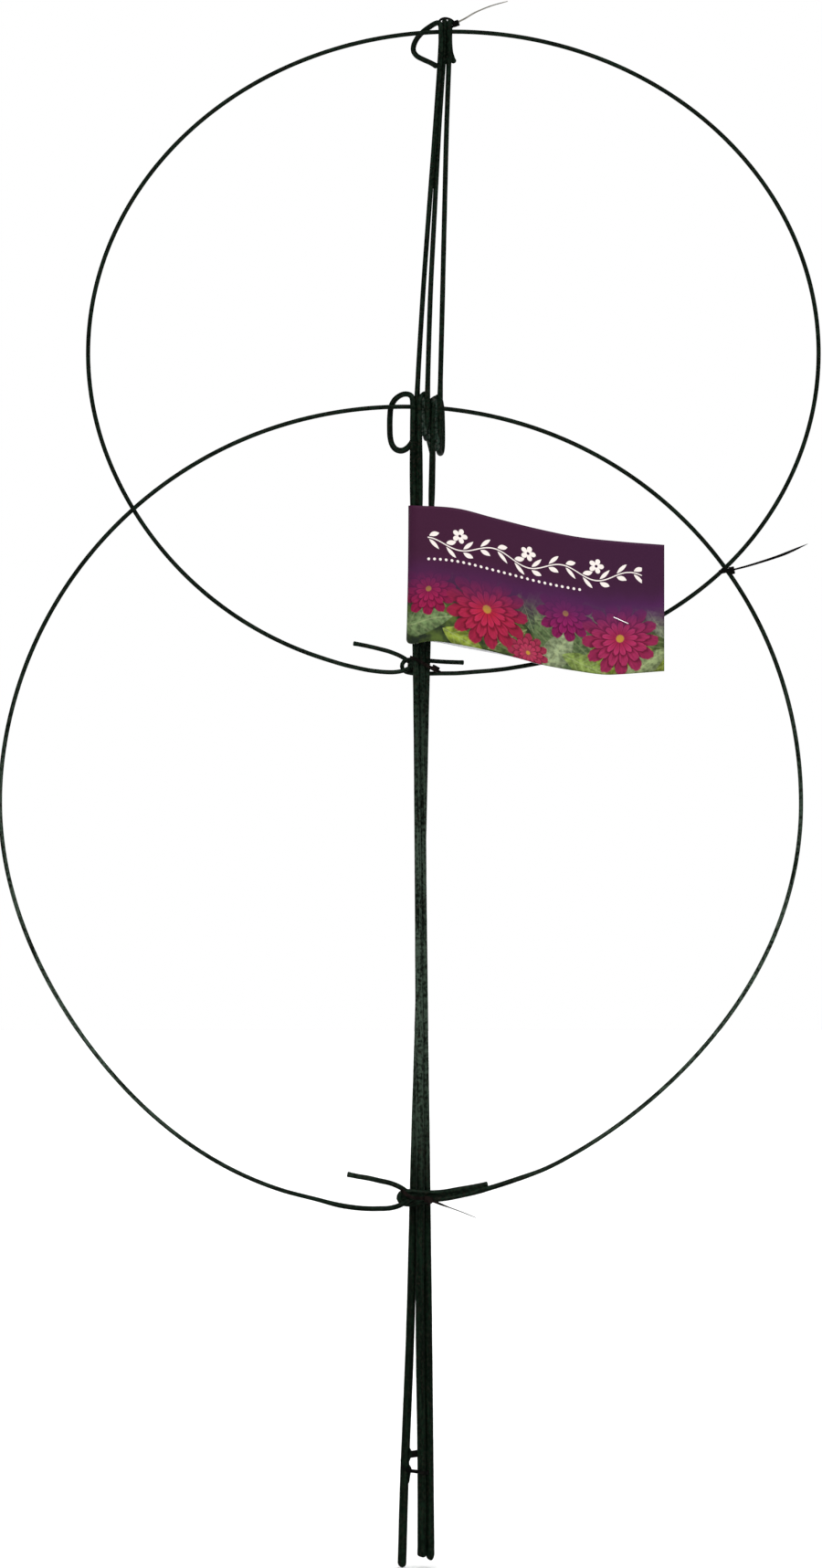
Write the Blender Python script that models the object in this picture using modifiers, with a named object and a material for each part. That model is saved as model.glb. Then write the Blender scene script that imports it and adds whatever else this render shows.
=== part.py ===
"""Linking flower support, folded flat: three wire legs, two wire hoops, five cable ties, a card.

Metres, +Z up, with -Y as the front. The legs stand up from the origin with their feet down, and
both hoops hang from them in the XZ plane. Every wire is one bent piece: a leg has a coil round
the lower hoop and an eye round the upper one, and a hoop's two ends hook into each other.
"""
import math

import bmesh
import bpy
from mathutils import Matrix, Vector

MM = 0.001

OBJECT_NAME = "linking_flower_support"

# Wires: radius of the coated wire
HOOP_RADIUS = 1.3 * MM
LOWER_HOOK_RADIUS = 1.45 * MM
LEG_RADIUS = 1.6 * MM
LEG_FOOT_RADIUS = 2.5 * MM
COAT_THICKENS_BELOW = 468 * MM
COAT_FULL_BELOW = 252 * MM
FOOT_ROUNDING = 2.5 * MM

# Upper hoop: an ellipse that hangs from its top, with its hooks linked at the bottom.
# Bends are shallow, given as angle, half width and depth.
UPPER_TOP = Vector((21.8 * MM, 0, 907.9 * MM))
UPPER_HALF_WIDTH = 216.0 * MM
UPPER_HALF_HEIGHT = 190.2 * MM
UPPER_BENDS = ((-115, 45, 2.6 * MM), (-70, 35, -1.7 * MM))
UPPER_ARC = (-74, 246)
UPPER_STRAND_GAP = 0.4 * MM
UPPER_HOOK = Vector((0, 4.4 * MM, UPPER_TOP.z - 2 * UPPER_HALF_HEIGHT))
UPPER_PIVOT = UPPER_TOP + Vector((-4.3 * MM, 0, -0.3 * MM))

# Lower hoop: a circle of the same kind, with its hooks in front of the legs
LOWER_TOP = Vector((-9.7 * MM, 0, 685.8 * MM))
LOWER_HALF_WIDTH = 236.5 * MM
LOWER_HALF_HEIGHT = 236.5 * MM
LOWER_BENDS = ((-50, 50, -9.2 * MM), (-145, 40, -5.4 * MM), (45, 60, 2.2 * MM))
LOWER_ARC = (-68, 258)
LOWER_STRAND_GAP = 0.3 * MM
LOWER_HOOK = Vector((0, -10.8 * MM, LOWER_TOP.z - 2 * LOWER_HALF_HEIGHT))
LOWER_PIVOT = LOWER_TOP + Vector((15.2 * MM, 0, -0.5 * MM))
CROSSING_ANGLE = 36.1

# Coils and eyes of the legs: a coil holds the lower hoop's top, an eye the upper hoop's
COIL_BOTTOM = LOWER_TOP.z - 25.8 * MM
COIL_GAP = 1.3 * MM
COIL_PITCH = 2 * LEG_RADIUS + COIL_GAP
EYE_TOP = UPPER_TOP.z + 5.9 * MM
EYE_PITCH = 2 * LEG_RADIUS

# Cable ties
STRAP_WIDTH = 2.4 * MM
STRAP_THICKNESS = 0.9 * MM
HEAD_BEVEL = 0.4 * MM
FOOT_TIE_HEIGHT = 62.2 * MM

# Folded card, its fold round the three legs above the upper hoop's hooks, and its staple
CARD_THICKNESS = 0.35 * MM
CARD_AXIS = Vector((2.06 * LEG_RADIUS, -3.125 * LEG_RADIUS, UPPER_HOOK.z + 58.5 * MM))
CARD_FOLD_RADIUS = 4.97 * LEG_RADIUS
CARD_PANEL_GAP = 0.9 * MM
CARD_CLOSED_FROM = 112 * MM
CARD_RIGHT = 146.4 * MM
CARD_REAR_DROP = 1.2 * MM
STAPLE_RADIUS = 0.3 * MM
STAPLE_HOLE_RADIUS = 0.65 * MM
STAPLE_CLEARANCE = 0.4 * MM
STAPLE_ENDS = (UPPER_HOOK + Vector((116.5 * MM, 0, 34.1 * MM)),
               UPPER_HOOK + Vector((125.1 * MM, 0, 30.3 * MM)))

# How finely a wire is drawn: largest turn between two points, and largest distance
WIRE_TURN = math.radians(12)
HOOP_STEP = 16 * MM
LEG_STEP = 45 * MM


def clear_scene():
    """Remove everything that the new file starts with."""
    for item in list(bpy.data.objects):
        bpy.data.objects.remove(item, do_unlink=True)


def make_material(name, colour, roughness, metallic=0.0):
    """Return a Principled material."""
    material = bpy.data.materials.new(name)
    material.use_nodes = True
    shader = material.node_tree.nodes["Principled BSDF"]
    shader.inputs["Base Color"].default_value = (*colour, 1)
    shader.inputs["Roughness"].default_value = roughness
    shader.inputs["Metallic"].default_value = metallic
    return material


def make_collection(name):
    """Return a new collection in the scene."""
    collection = bpy.data.collections.new(name)
    bpy.context.scene.collection.children.link(collection)
    return collection


def place(name, data, origin, collection, material=None):
    """Put mesh or curve data in the scene as an object, with its origin at a point."""
    item = bpy.data.objects.new(name, data)
    item.location = origin
    if material:
        data.materials.append(material)
    collection.objects.link(item)
    return item


def smooth(points, spans=12):
    """Return points on a centripetal Catmull-Rom spline; entries past x, y, z follow along."""
    knots = [Vector(point) for point in points]
    knots = [knots[0] * 2 - knots[1]] + knots + [knots[-1] * 2 - knots[-2]]
    result = []
    for before, start, end, after in zip(knots, knots[1:], knots[2:], knots[3:]):
        times = [0.0]
        for first, second in ((before, start), (start, end), (end, after)):
            times.append(times[-1] + max((second - first).length, 1e-7) ** 0.5)
        for index in range(spans):
            time = times[1] + (times[2] - times[1]) * index / spans
            first = blend(before, start, times[0], times[1], time)
            second = blend(start, end, times[1], times[2], time)
            third = blend(end, after, times[2], times[3], time)
            fourth = blend(first, second, times[0], times[2], time)
            fifth = blend(second, third, times[1], times[3], time)
            result.append(blend(fourth, fifth, times[1], times[2], time))
    result.append(knots[-2])
    return result


def blend(first, second, start, end, time):
    """Return the point between two others that belongs to a time between theirs."""
    share = (time - start) / (end - start)
    return first * (1 - share) + second * share


def thin(points, turn, step):
    """Keep the points of a path where it has turned or run far enough since the last one."""
    kept = [points[0]]
    heading = points[1].xyz - points[0].xyz
    for point, following in zip(points[1:], points[2:]):
        next_heading = following.xyz - point.xyz
        turned = heading.angle(next_heading, 0.0)
        if turned > turn or (point.xyz - kept[-1].xyz).length > step:
            kept.append(point)
            heading = next_heading
    kept.append(points[-1])
    return kept


def make_wire(name, stations, origin, collection, material):
    """Make a wire as a poly curve through stations of x, y, z and radius."""
    depth = max(station[3] for station in stations)
    curve = bpy.data.curves.new(name, "CURVE")
    curve.dimensions = "3D"
    curve.bevel_depth = depth
    curve.bevel_resolution = 2
    curve.use_fill_caps = True
    spline = curve.splines.new("POLY")
    spline.points.add(len(stations) - 1)
    for point, station in zip(spline.points, stations):
        point.co = (*(station.xyz - origin), 1)
        point.radius = station[3] / depth
    return place(name, curve, origin, collection, material)


def interpolate(table, value):
    """Return the value of a table of (key, value) pairs at a key, level past its ends."""
    if value <= table[0][0]:
        return table[0][1]
    for (low, first), (high, second) in zip(table, table[1:]):
        if value <= high:
            return first + (second - first) * (value - low) / (high - low)
    return table[-1][1]


# Hoops

def bump(angle, centre, half_width):
    """Return a rounded bump of height 1 round a centre angle, in degrees."""
    distance = abs((angle - centre + 180) % 360 - 180) / half_width
    if distance >= 1:
        return 0.0
    return math.cos(distance * math.pi / 2) ** 2


def right_share(angle):
    """Return how far a place on a ring belongs to its right half: 1 there, 0 on the left."""
    return 0.5 + 0.5 * math.cos(math.radians(max(0, min(180, angle))))


def ring_point(hoop, angle):
    """Return the point of a hoop's ring at an angle, with its shallow bends and its lean."""
    turn = math.radians(angle)
    centre = hoop["top"] - Vector((0, 0, hoop["half_height"]))
    spoke = Vector((hoop["half_width"] * math.cos(turn), 0, hoop["half_height"] * math.sin(turn)))
    offset = sum(depth * bump(angle, at, width) for at, width, depth in hoop["bends"])
    point = centre + spoke * (1 + offset / spoke.length)
    height = (point.z - hoop["hook"].z) / (2 * hoop["half_height"])
    right, left = hoop["lean"]
    share = right_share(angle)
    point.y = interpolate(right, height) * share + interpolate(left, height) * (1 - share)
    return point


def hoop_stations(hoop):
    """Join a hoop's ring and its two hooks into one run of stations.

    A hook is a list of x, depth and z in millimetres from the hoop's hook point, from the ring to
    the wire's end. The lean gives the depth of the ring's right and left half by its height.
    """
    def hook_stations(hook):
        return [Vector((*(hoop["hook"] + Vector(place) * MM), hoop["hook_radius"])) for place in hook]

    right, left = hoop["hooks"]
    stations = list(reversed(hook_stations(right)))
    steps = 60
    start, end = hoop["arc"]
    for index in range(steps + 1):
        point = ring_point(hoop, start + (end - start) * index / steps)
        stations.append(Vector((*point, hoop["radius"])))
    stations += hook_stations(left)
    return thin(smooth(stations, 6), WIRE_TURN, HOOP_STEP)


# Depth of a hoop's right and left half, by height from its hooks (0) to its top (1)
UPPER_LEAN = (
    ((0.007, 4.4 * MM), (0.164, 2.9 * MM), (0.453, 1.6 * MM), (0.927, 0.4 * MM), (0.992, 0)),
    ((0.007, 1.4 * MM), (0.256, 1.6 * MM), (0.453, 1.2 * MM), (0.927, 0.4 * MM), (0.992, 0)),
)
LOWER_LEAN = (
    ((0.007, -10.8 * MM), (0.501, -6.0 * MM), (0.797, -3.2 * MM), (0.967, -0.6 * MM), (0.996, 0)),
    ((0.007, -14.0 * MM), (0.501, -6.6 * MM), (0.871, -2.3 * MM), (0.967, -0.6 * MM), (0.996, 0)),
)


def strand_pitch(radius, gap):
    """Return the depth from one strand of a hook to the next, in millimetres."""
    return (2 * radius + gap) / MM


def upper_hooks():
    """Return the upper hoop's right and left hooks, from the ring to the ends."""
    pitch = strand_pitch(HOOP_RADIUS, UPPER_STRAND_GAP)
    right = [
        (56.2, 0, 4.2), (45.4, 0, 2.8), (34.6, 0, 1.9), (23.8, 0, 1.1), (15.1, 0, 1.0), (4.9, 0, 0.9),
        (-3.2, 0, 1.2), (-7.3, 0, 2.5), (-8.6, 0, 5.3), (-7.3, 0, 8.1), (-3.6, 0, 9.2), (4.9, 0, 8.7),
        (15.1, 0, 7.9), (28.1, 0, 7.4),
    ]
    left = [
        (-45.4, -pitch, 6.8), (-36.7, -pitch, 4.6), (-28.1, -pitch, 2.8), (-19.4, -pitch, 1.8),
        (-13.0, -pitch, 1.7), (-8.2, -pitch, 2.5), (-4.6, -pitch, 3.9), (-2.5, -0.57 * pitch, 4.9),
        (-1.9, 0, 5.4), (-2.5, 0.57 * pitch, 6.0), (-4.6, pitch, 8.1), (-8.6, pitch, 10.8),
        (-15.1, pitch, 13.6), (-23.8, pitch, 16.0), (-32.4, pitch, 17.9), (-37.5, pitch, 18.8),
    ]
    return right, left


def lower_hooks():
    """Return the lower hoop's right and left hooks, from the ring to the ends."""
    pitch = strand_pitch(LOWER_HOOK_RADIUS, LOWER_STRAND_GAP)
    right = [
        (56.2, 0, 15.9), (45.4, 0, 12.4), (34.6, 0, 9.2), (23.8, 0, 6.8), (17.3, 0, 5.6), (10.3, 0, 4.8),
        (2.2, 0, 3.3), (-4.3, 0, 2.2), (-8.6, 0, 3.1), (-10.4, 0, 6.0), (-8.6, 0, 9.1), (-4.3, 0, 9.7),
        (3.2, 0, 9.1), (10.8, 0, 9.0), (17.3, 0, 9.6), (23.8, 0, 10.8), (34.6, 1.4, 12.6),
        (42.1, 2.6, 14.0),
    ]
    left = [
        (-45.4, -pitch, 1.7), (-32.4, -pitch, -0.1), (-21.6, -pitch, -0.3), (-15.1, -pitch, 0.1),
        (-9.5, -pitch, 1.8), (-5.4, -pitch, 4.2), (-3.2, -0.56 * pitch, 5.6), (-2.6, 0, 6.1),
        (-3.2, 0.56 * pitch, 6.7), (-5.2, pitch, 8.8), (-8.8, pitch, 11.6), (-15.1, pitch, 14.4),
        (-21.6, pitch, 15.9), (-28.1, pitch, 17.4), (-34.6, pitch, 18.5), (-41.0, pitch, 19.8),
    ]
    return right, left


UPPER_HOOP = {
    "top": UPPER_TOP, "half_width": UPPER_HALF_WIDTH, "half_height": UPPER_HALF_HEIGHT,
    "bends": UPPER_BENDS, "arc": UPPER_ARC, "lean": UPPER_LEAN, "hook": UPPER_HOOK,
    "hooks": upper_hooks(), "radius": HOOP_RADIUS, "hook_radius": HOOP_RADIUS,
}
LOWER_HOOP = {
    "top": LOWER_TOP, "half_width": LOWER_HALF_WIDTH, "half_height": LOWER_HALF_HEIGHT,
    "bends": LOWER_BENDS, "arc": LOWER_ARC, "lean": LOWER_LEAN, "hook": LOWER_HOOK,
    "hooks": lower_hooks(), "radius": HOOP_RADIUS, "hook_radius": LOWER_HOOK_RADIUS,
}


def make_hoops(collection, upper_material, lower_material):
    """Make both hoops, each with its origin on the line that it swings about."""
    make_wire("upper_hoop", hoop_stations(UPPER_HOOP), UPPER_PIVOT, collection, upper_material)
    make_wire("lower_hoop", hoop_stations(LOWER_HOOP), LOWER_PIVOT, collection, lower_material)


# Legs

# One turn of the coil: reach from the shank in wire radii, height over the coil's bottom in
# millimetres, share of the pitch
COIL_TURN = (
    (0, 4, 0), (0, 16, 0), (0.19, 27.5, 0.06), (1.12, 31.6, 0.25), (3.06, 33.4, 0.43),
    (5.37, 33.1, 0.47), (7.5, 31, 0.49), (9.56, 27.3, 0.5), (11, 21, 0.52), (11.37, 14, 0.54),
    (11.19, 8, 0.55), (10.12, 2.8, 0.56), (7.62, 0, 0.57), (4.81, 1.8, 0.59), (2.5, 5.3, 0.64),
    (0.81, 10, 0.82), (0.12, 15.5, 0.97), (0, 23, 1), (0, 31, 1),
)
# The eye in the same way, its heights from the eye's top down
EYE_TURN = (
    (0, -13, 0), (0, -7, 0), (0.25, -3, 0.02), (1.19, -0.7, 0.06), (2.75, 0, 0.12), (5, -0.5, 0.18),
    (8.94, -3.4, 0.3), (11.88, -6.2, 0.38), (14.12, -10.1, 0.44), (15.12, -14.2, 0.5),
    (15, -17.4, 0.55), (13.69, -19.4, 0.6), (9.25, -22, 0.75),
)
EYE_TAILS = {"leg_left": ((4.88, -25, 0.92), (3.62, -26, 0.97)),
             "leg_middle": ((5.94, -24, 0.9), (3.88, -25.4, 0.97)),
             "leg_right": ((7.81, -22.8, 0.82), (5.62, -24.2, 0.92))}

# Each leg, from its foot to its coil, between coil and eye: across and back in radii of the wire at
# that height, height in millimetres. The coil and the eye start at such a place, with a roll angle.
LEGS = {
    "leg_left": {
        "below": ((0.76, -1.68, 6.2), (1.04, -1.72, 35), (1.08, -2, 140), (1.08, -2.1, 230),
                  (0.56, -2.99, 378), (-0.31, -4, 527), (-0.94, -4.19, 600)),
        "coil": (-1.69, -4.56, 142),
        "between": ((2, -2.94, 750), (4, -3.69, 799), (6.56, -4.38, 850)),
        "eye": (8.5, -4.5, 136),
        "eye_drop": 0.0,
    },
    "leg_middle": {
        "below": ((3.56, -0.64, 4.3), (3.24, -0.64, 35), (2.76, -0.52, 140), (2.28, -0.36, 230),
                  (2.13, -0.91, 378), (1.69, -2.5, 527), (1.25, -3.88, 615)),
        "coil": (1.06, -4.56, 73),
        "between": ((5, -4.38, 750), (6.56, -3.38, 799), (8.25, -2.56, 850)),
        "eye": (9.94, -2.44, 95),
        "eye_drop": 0.0,
    },
    "leg_right": {
        "below": ((-3.6, -0.96, 0), (-3, -0.92, 35), (-1.52, -0.4, 138), (-0.54, 0.08, 230),
                  (1.32, 1.52, 378), (3.12, 1, 470), (4.06, -0.5, 527), (5.12, -1.94, 600)),
        "coil": (5.94, -2.5, 74),
        "between": ((9.5, -3, 750), (10.31, -2.75, 799), (11.12, -2.5, 850)),
        "eye": (12.44, -2.44, 93),
        "eye_drop": 0.5,
    },
}


def leg_radius(height):
    """Return the radius of a leg's coated wire at a height: the dipped coat is thick low down."""
    table = ((COAT_FULL_BELOW, LEG_FOOT_RADIUS), (COAT_THICKENS_BELOW, LEG_RADIUS))
    return interpolate(table, height)


def leg_point(across, back, height):
    """Return a place in the bundle, given in radii of the wire at a height in millimetres."""
    radius = leg_radius(height * MM)
    return Vector((across * radius, back * radius, height * MM))


def turn_points(profile, corner, pitch, base):
    """Lay one turn of wire into space: it reaches out along its roll and shifts by the pitch."""
    across, back, roll = corner
    outward = Vector((math.cos(math.radians(roll)), math.sin(math.radians(roll)), 0))
    sideways = Vector((outward.y, -outward.x, 0))
    points = []
    for reach, height, share in profile:
        point = Vector((across * LEG_RADIUS, back * LEG_RADIUS, base + height * MM))
        points.append(point + outward * (reach * LEG_RADIUS) + sideways * (share * pitch))
    return points


def make_leg(name, collection, material):
    """Make one leg: foot, shank, coil, shank and eye in one wire."""
    leg = LEGS[name]
    below = [leg_point(*place) for place in leg["below"]]
    coil = turn_points(COIL_TURN, leg["coil"], COIL_PITCH, COIL_BOTTOM)
    between = [leg_point(*place) for place in leg["between"]]
    eye = turn_points(EYE_TURN + EYE_TAILS[name], leg["eye"], EYE_PITCH, EYE_TOP - leg["eye_drop"] * MM)
    path = smooth(below + coil + between + eye)
    stations = [Vector((*point, leg_radius(point.z))) for point in thin(path, WIRE_TURN, LEG_STEP)]
    tip = stations.pop(0)
    rise = (stations[0].xyz - tip.xyz).normalized()
    foot = []
    for share in (0.12, 0.4, 0.7, 1.0):
        radius = LEG_FOOT_RADIUS * math.sqrt(1 - (1 - share) ** 2)
        foot.append(Vector((*(tip.xyz + rise * (FOOT_ROUNDING * share)), radius)))
    foot[0] = Vector((*tip.xyz, foot[0][3]))
    return make_wire(name, foot + stations, Vector((0, 0, 0)), collection, material)


# Cable ties

def ribbon_mesh(name, points, axis, widths):
    """Make an open ribbon along points, its width along the axis of what it binds."""
    mesh = bpy.data.meshes.new(name)
    bm = bmesh.new()
    rows = []
    for index, point in enumerate(points):
        before = points[max(index - 1, 0)]
        after = points[min(index + 1, len(points) - 1)]
        tangent = (after - before).normalized()
        across = (axis - tangent * axis.dot(tangent)).normalized()
        half = across * (widths[index] / 2)
        rows.append((bm.verts.new(point - half), bm.verts.new(point + half)))
    for first, second in zip(rows, rows[1:]):
        bm.faces.new((first[0], second[0], second[1], first[1]))
    bm.to_mesh(mesh)
    bm.free()
    return mesh


def add_solidify(item, thickness):
    """Give a surface its thickness, half to each side."""
    modifier = item.modifiers.new("Thickness", "SOLIDIFY")
    modifier.thickness = thickness
    modifier.offset = 0


def hide_cutter(item):
    """Mark a piece that only shapes another one."""
    item.hide_render = True
    item.display_type = "WIRE"


def add_boolean(item, operand, operation):
    """Join a piece to another or cut it."""
    modifier = item.modifiers.new(operation.title(), "BOOLEAN")
    modifier.operation = operation
    modifier.object = operand


def make_head(name, centre, frame, size, collection):
    """Make a tie's head as a bevelled block; the frame's columns are its own axes."""
    mesh = bpy.data.meshes.new(name)
    bm = bmesh.new()
    shape = Matrix.Diagonal((*size, 1))
    bmesh.ops.create_cube(bm, size=1, matrix=frame.to_4x4() @ shape)
    bm.to_mesh(mesh)
    bm.free()
    head = place(name, mesh, centre, collection)
    bevel = head.modifiers.new("Bevel", "BEVEL")
    bevel.width = HEAD_BEVEL
    bevel.segments = 2
    hide_cutter(head)
    return head


def make_tie(name, tie, collections, material):
    """Make one cable tie, strap, head and tail joined into one body.

    Its places are given in radii of the wire that it binds, from a point on what it binds.
    """
    parts, cutters = collections
    axis = Vector(tie["axis"]).normalized()
    origin = tie["origin"]

    def places(key):
        return [tie["anchor"] - origin + Vector(point) * tie["radius"] for point in tie[key]]

    loop = thin(smooth(places("loop")), math.radians(20), 6 * MM)
    mesh = ribbon_mesh(name, loop, axis, [STRAP_WIDTH] * len(loop))
    strap = place(name, mesh, origin, parts, material)
    add_solidify(strap, STRAP_THICKNESS)
    tail = thin(smooth(places("tail")), math.radians(12), 9 * MM)
    narrowing = (1 - tie["tail_end"]) / (len(tail) - 1)
    widths = [STRAP_WIDTH * (1 - narrowing * index) for index in range(len(tail))]
    mesh = ribbon_mesh(name + "_tail", tail, Vector(tie["tail_axis"]).normalized(), widths)
    tail_piece = place(name + "_tail", mesh, origin, cutters)
    add_solidify(tail_piece, STRAP_THICKNESS)
    hide_cutter(tail_piece)
    along = Vector(tie["head_along"]).normalized()
    across = (axis - along * axis.dot(along)).normalized()
    frame = Matrix((along, across, along.cross(across))).transposed()
    size = [length * STRAP_WIDTH for length in tie["head_size"]]
    centre = tie["anchor"] + Vector(tie["head"]) * tie["radius"]
    head = make_head(name + "_head", centre, frame, size, cutters)
    add_boolean(strap, head, "UNION")
    add_boolean(strap, tail_piece, "UNION")
    return strap


def stadium(half_run, depth, start, slope):
    """Return places round a slot shape seen from above, that rises backward by the slope."""
    points = []
    for index in range(21):
        turn = math.radians(start + 1 + 358 * index / 20)
        side = half_run if math.cos(turn) > 0 else -half_run
        flat = min(1.0, abs(math.cos(turn)) * 4)
        back = depth * math.sin(turn)
        points.append((0.3 + side * flat + depth * math.cos(turn), back - 1.16, slope * back))
    return points


# The point on what a tie binds, the origin of its body, the radius of the wire that it binds, and
# its places in such radii. A head's length, width and height are in widths of the strap.
TIES = {
    "top_tie": {
        "anchor": Vector((17.5 * MM, 1.6 * MM, EYE_TOP)),
        "origin": Vector((0, 0, 0)),
        "radius": LEG_RADIUS,
        "axis": (0, 1, 0),
        "loop": ((3.81, 0, -0.25), (3.06, 0, 0.5), (1.44, 0, 1.44), (-0.5, 0, 1.63), (-2.25, 0, 1.13),
                 (-3.12, 0, -0.19), (-2.25, 0, -1.5), (-0.5, 0, -2), (1.69, 0, -2.06),
                 (3.06, 0, -1.56), (3.81, 0, -0.87)),
        "tail": ((4.38, 0, -0.25), (6.88, 0, 1.19), (10.69, 0, 3.44), (16.56, 0, 5.88), (22.81, 0, 7.63)),
        "tail_axis": (0, 1, 0),
        "tail_end": 0.45,
        "head": (4.25, 0, -0.56),
        "head_along": (0.9, 0, 0.3),
        "head_size": (1.42, 1.5, 1.33),
    },
    "upper_hook_tie": {
        "anchor": Vector((0, 0, UPPER_HOOK.z)),
        "origin": Vector((0, 0, 0)),
        "radius": LEG_RADIUS,
        "axis": (0.3, 0, 1),
        "loop": ((6.88, -1.19, 2.12), (5.75, 0.37, 2.44), (4.5, 1.19, 3.12), (2.81, 0.69, 4.06),
                 (0.94, -0.94, 5.13), (-1.19, -2.5, 6.19), (-2.25, -3.94, 6.75), (-1.81, -5.37, 6.56),
                 (-0.37, -5.69, 5.87), (1.38, -4.94, 4.94), (3.44, -3.44, 3.75), (5.25, -2.5, 2.75),
                 (6.88, -1.94, 2.12)),
        "tail": ((7.25, -1.56, 2.37), (8.69, -1.56, 1.81), (10, -1.56, 1.5)),
        "tail_axis": (0, 1, 0.2),
        "tail_end": 0.9,
        "head": (7.38, -1.56, 2.44),
        "head_along": (0.93, 0, -0.2),
        "head_size": (1.42, 1.58, 1.42),
    },
    "lower_hook_tie": {
        "anchor": LOWER_HOOK,
        "origin": LOWER_PIVOT,
        "radius": LOWER_HOOK_RADIUS,
        "axis": (0.25, 0.05, 1),
        "loop": ((4.41, -2.48, 4), (1.72, -2.9, 4), (-1.24, -3.66, 4.28), (-3.86, -3.72, 5.66),
                 (-6.62, -3.17, 8.55), (-8, -0.83, 10.62), (-7.86, 1.93, 11.17), (-6.21, 3.86, 9.52),
                 (-3.72, 3.86, 6.07), (-1.52, 3.59, 4.21), (0.41, 1.79, 2.9), (2.21, 1.45, 1.93),
                 (4.41, 1.31, 0.76), (5.52, -0.14, 0.41), (5.24, -1.72, 1.31), (4.69, -2.34, 2.9)),
        "tail": ((5.1, -2.34, 3.72), (7.59, -2.21, 3.03), (11.52, -1.93, 1.45), (17.93, -1.79, -1.1),
                 (24.21, -1.79, -3.72)),
        "tail_axis": (0, 1, 0),
        "tail_end": 0.6,
        "head": (4.55, -2.34, 3.59),
        "head_along": (1, 0, -0.15),
        "head_size": (1.58, 1.58, 1.33),
    },
    "crossing_tie": {
        "anchor": ring_point(LOWER_HOOP, CROSSING_ANGLE),
        "origin": LOWER_PIVOT,
        "radius": HOOP_RADIUS,
        "axis": (-0.309, 0, 0.951),
        "loop": ((3.46, 0.38, 1.15), (1.69, 1.62, 0.54), (0, 1.77, 0), (-1.69, 1.62, -0.54),
                 (-3, 0.92, -1), (-3.31, 0, -1.08), (-3, -0.92, -1), (-1.69, -1.62, -0.54),
                 (0, -1.77, 0), (1.69, -1.62, 0.54), (3.46, -0.46, 1.15)),
        "tail": ((4.23, 0, 1.31), (13, -0.15, 4.08), (24.54, -0.38, 8), (36.54, -0.54, 11.62)),
        "tail_axis": (-0.309, 0, 0.951),
        "tail_end": 0.6,
        "head": (3.69, 0, 1.15),
        "head_along": (0.951, 0, 0.309),
        "head_size": (1.33, 1.58, 1.42),
    },
    "foot_tie": {
        "anchor": Vector((0, 0, FOOT_TIE_HEIGHT)),
        "origin": Vector((0, 0, 0)),
        "radius": LEG_FOOT_RADIUS,
        "axis": (0, 0, 1),
        "loop": stadium(2.4, 2.0, 90, 1.0),
        "tail": ((0.4, 1.28, 2), (1.36, 1.36, 2), (2.24, 1.4, 2.04)),
        "tail_axis": (0, 0, 1),
        "tail_end": 0.9,
        "head": (0.3, 1.16, 2),
        "head_along": (1, 0, 0),
        "head_size": (1.58, 1.58, 1.33),
    },
}


# Card and staple

# The card's edges: across, and height over the upper hoop's hook point, in millimetres
CARD_TOP = ((-3.2, 100.0), (23.2, 98.4), (45.9, 92.7), (70.7, 86.5), (95.0, 81.6), (119.9, 78.9),
            (146.9, 76.8))
CARD_BOTTOM = ((-3.8, 17.9), (8.1, 19.8), (14.6, 19.5), (33.5, 16.3), (58.3, 10.3), (74.0, 6.0),
               (95.0, 2.2), (111.2, 0.1), (119.9, 0.3), (145.8, 2.2))


def card_section():
    """Return the card's run seen from above: front panel, round fold, rear panel."""
    section = []
    closed = CARD_PANEL_GAP / 2
    panels = 12
    for index in range(panels + 1):
        x = CARD_RIGHT + (CARD_AXIS.x - CARD_RIGHT) * index / panels
        share = max(0.0, (CARD_CLOSED_FROM - x) / (CARD_CLOSED_FROM - CARD_AXIS.x))
        section.append((x, -closed - (CARD_FOLD_RADIUS - closed) * share))
    rear = [(x, -y) for x, y in reversed(section)]
    steps = 10
    for index in range(1, steps):
        turn = math.pi * (1.5 - index / steps)
        x = CARD_AXIS.x + CARD_FOLD_RADIUS * math.cos(turn)
        section.append((x, CARD_FOLD_RADIUS * math.sin(turn)))
    return section + rear


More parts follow.
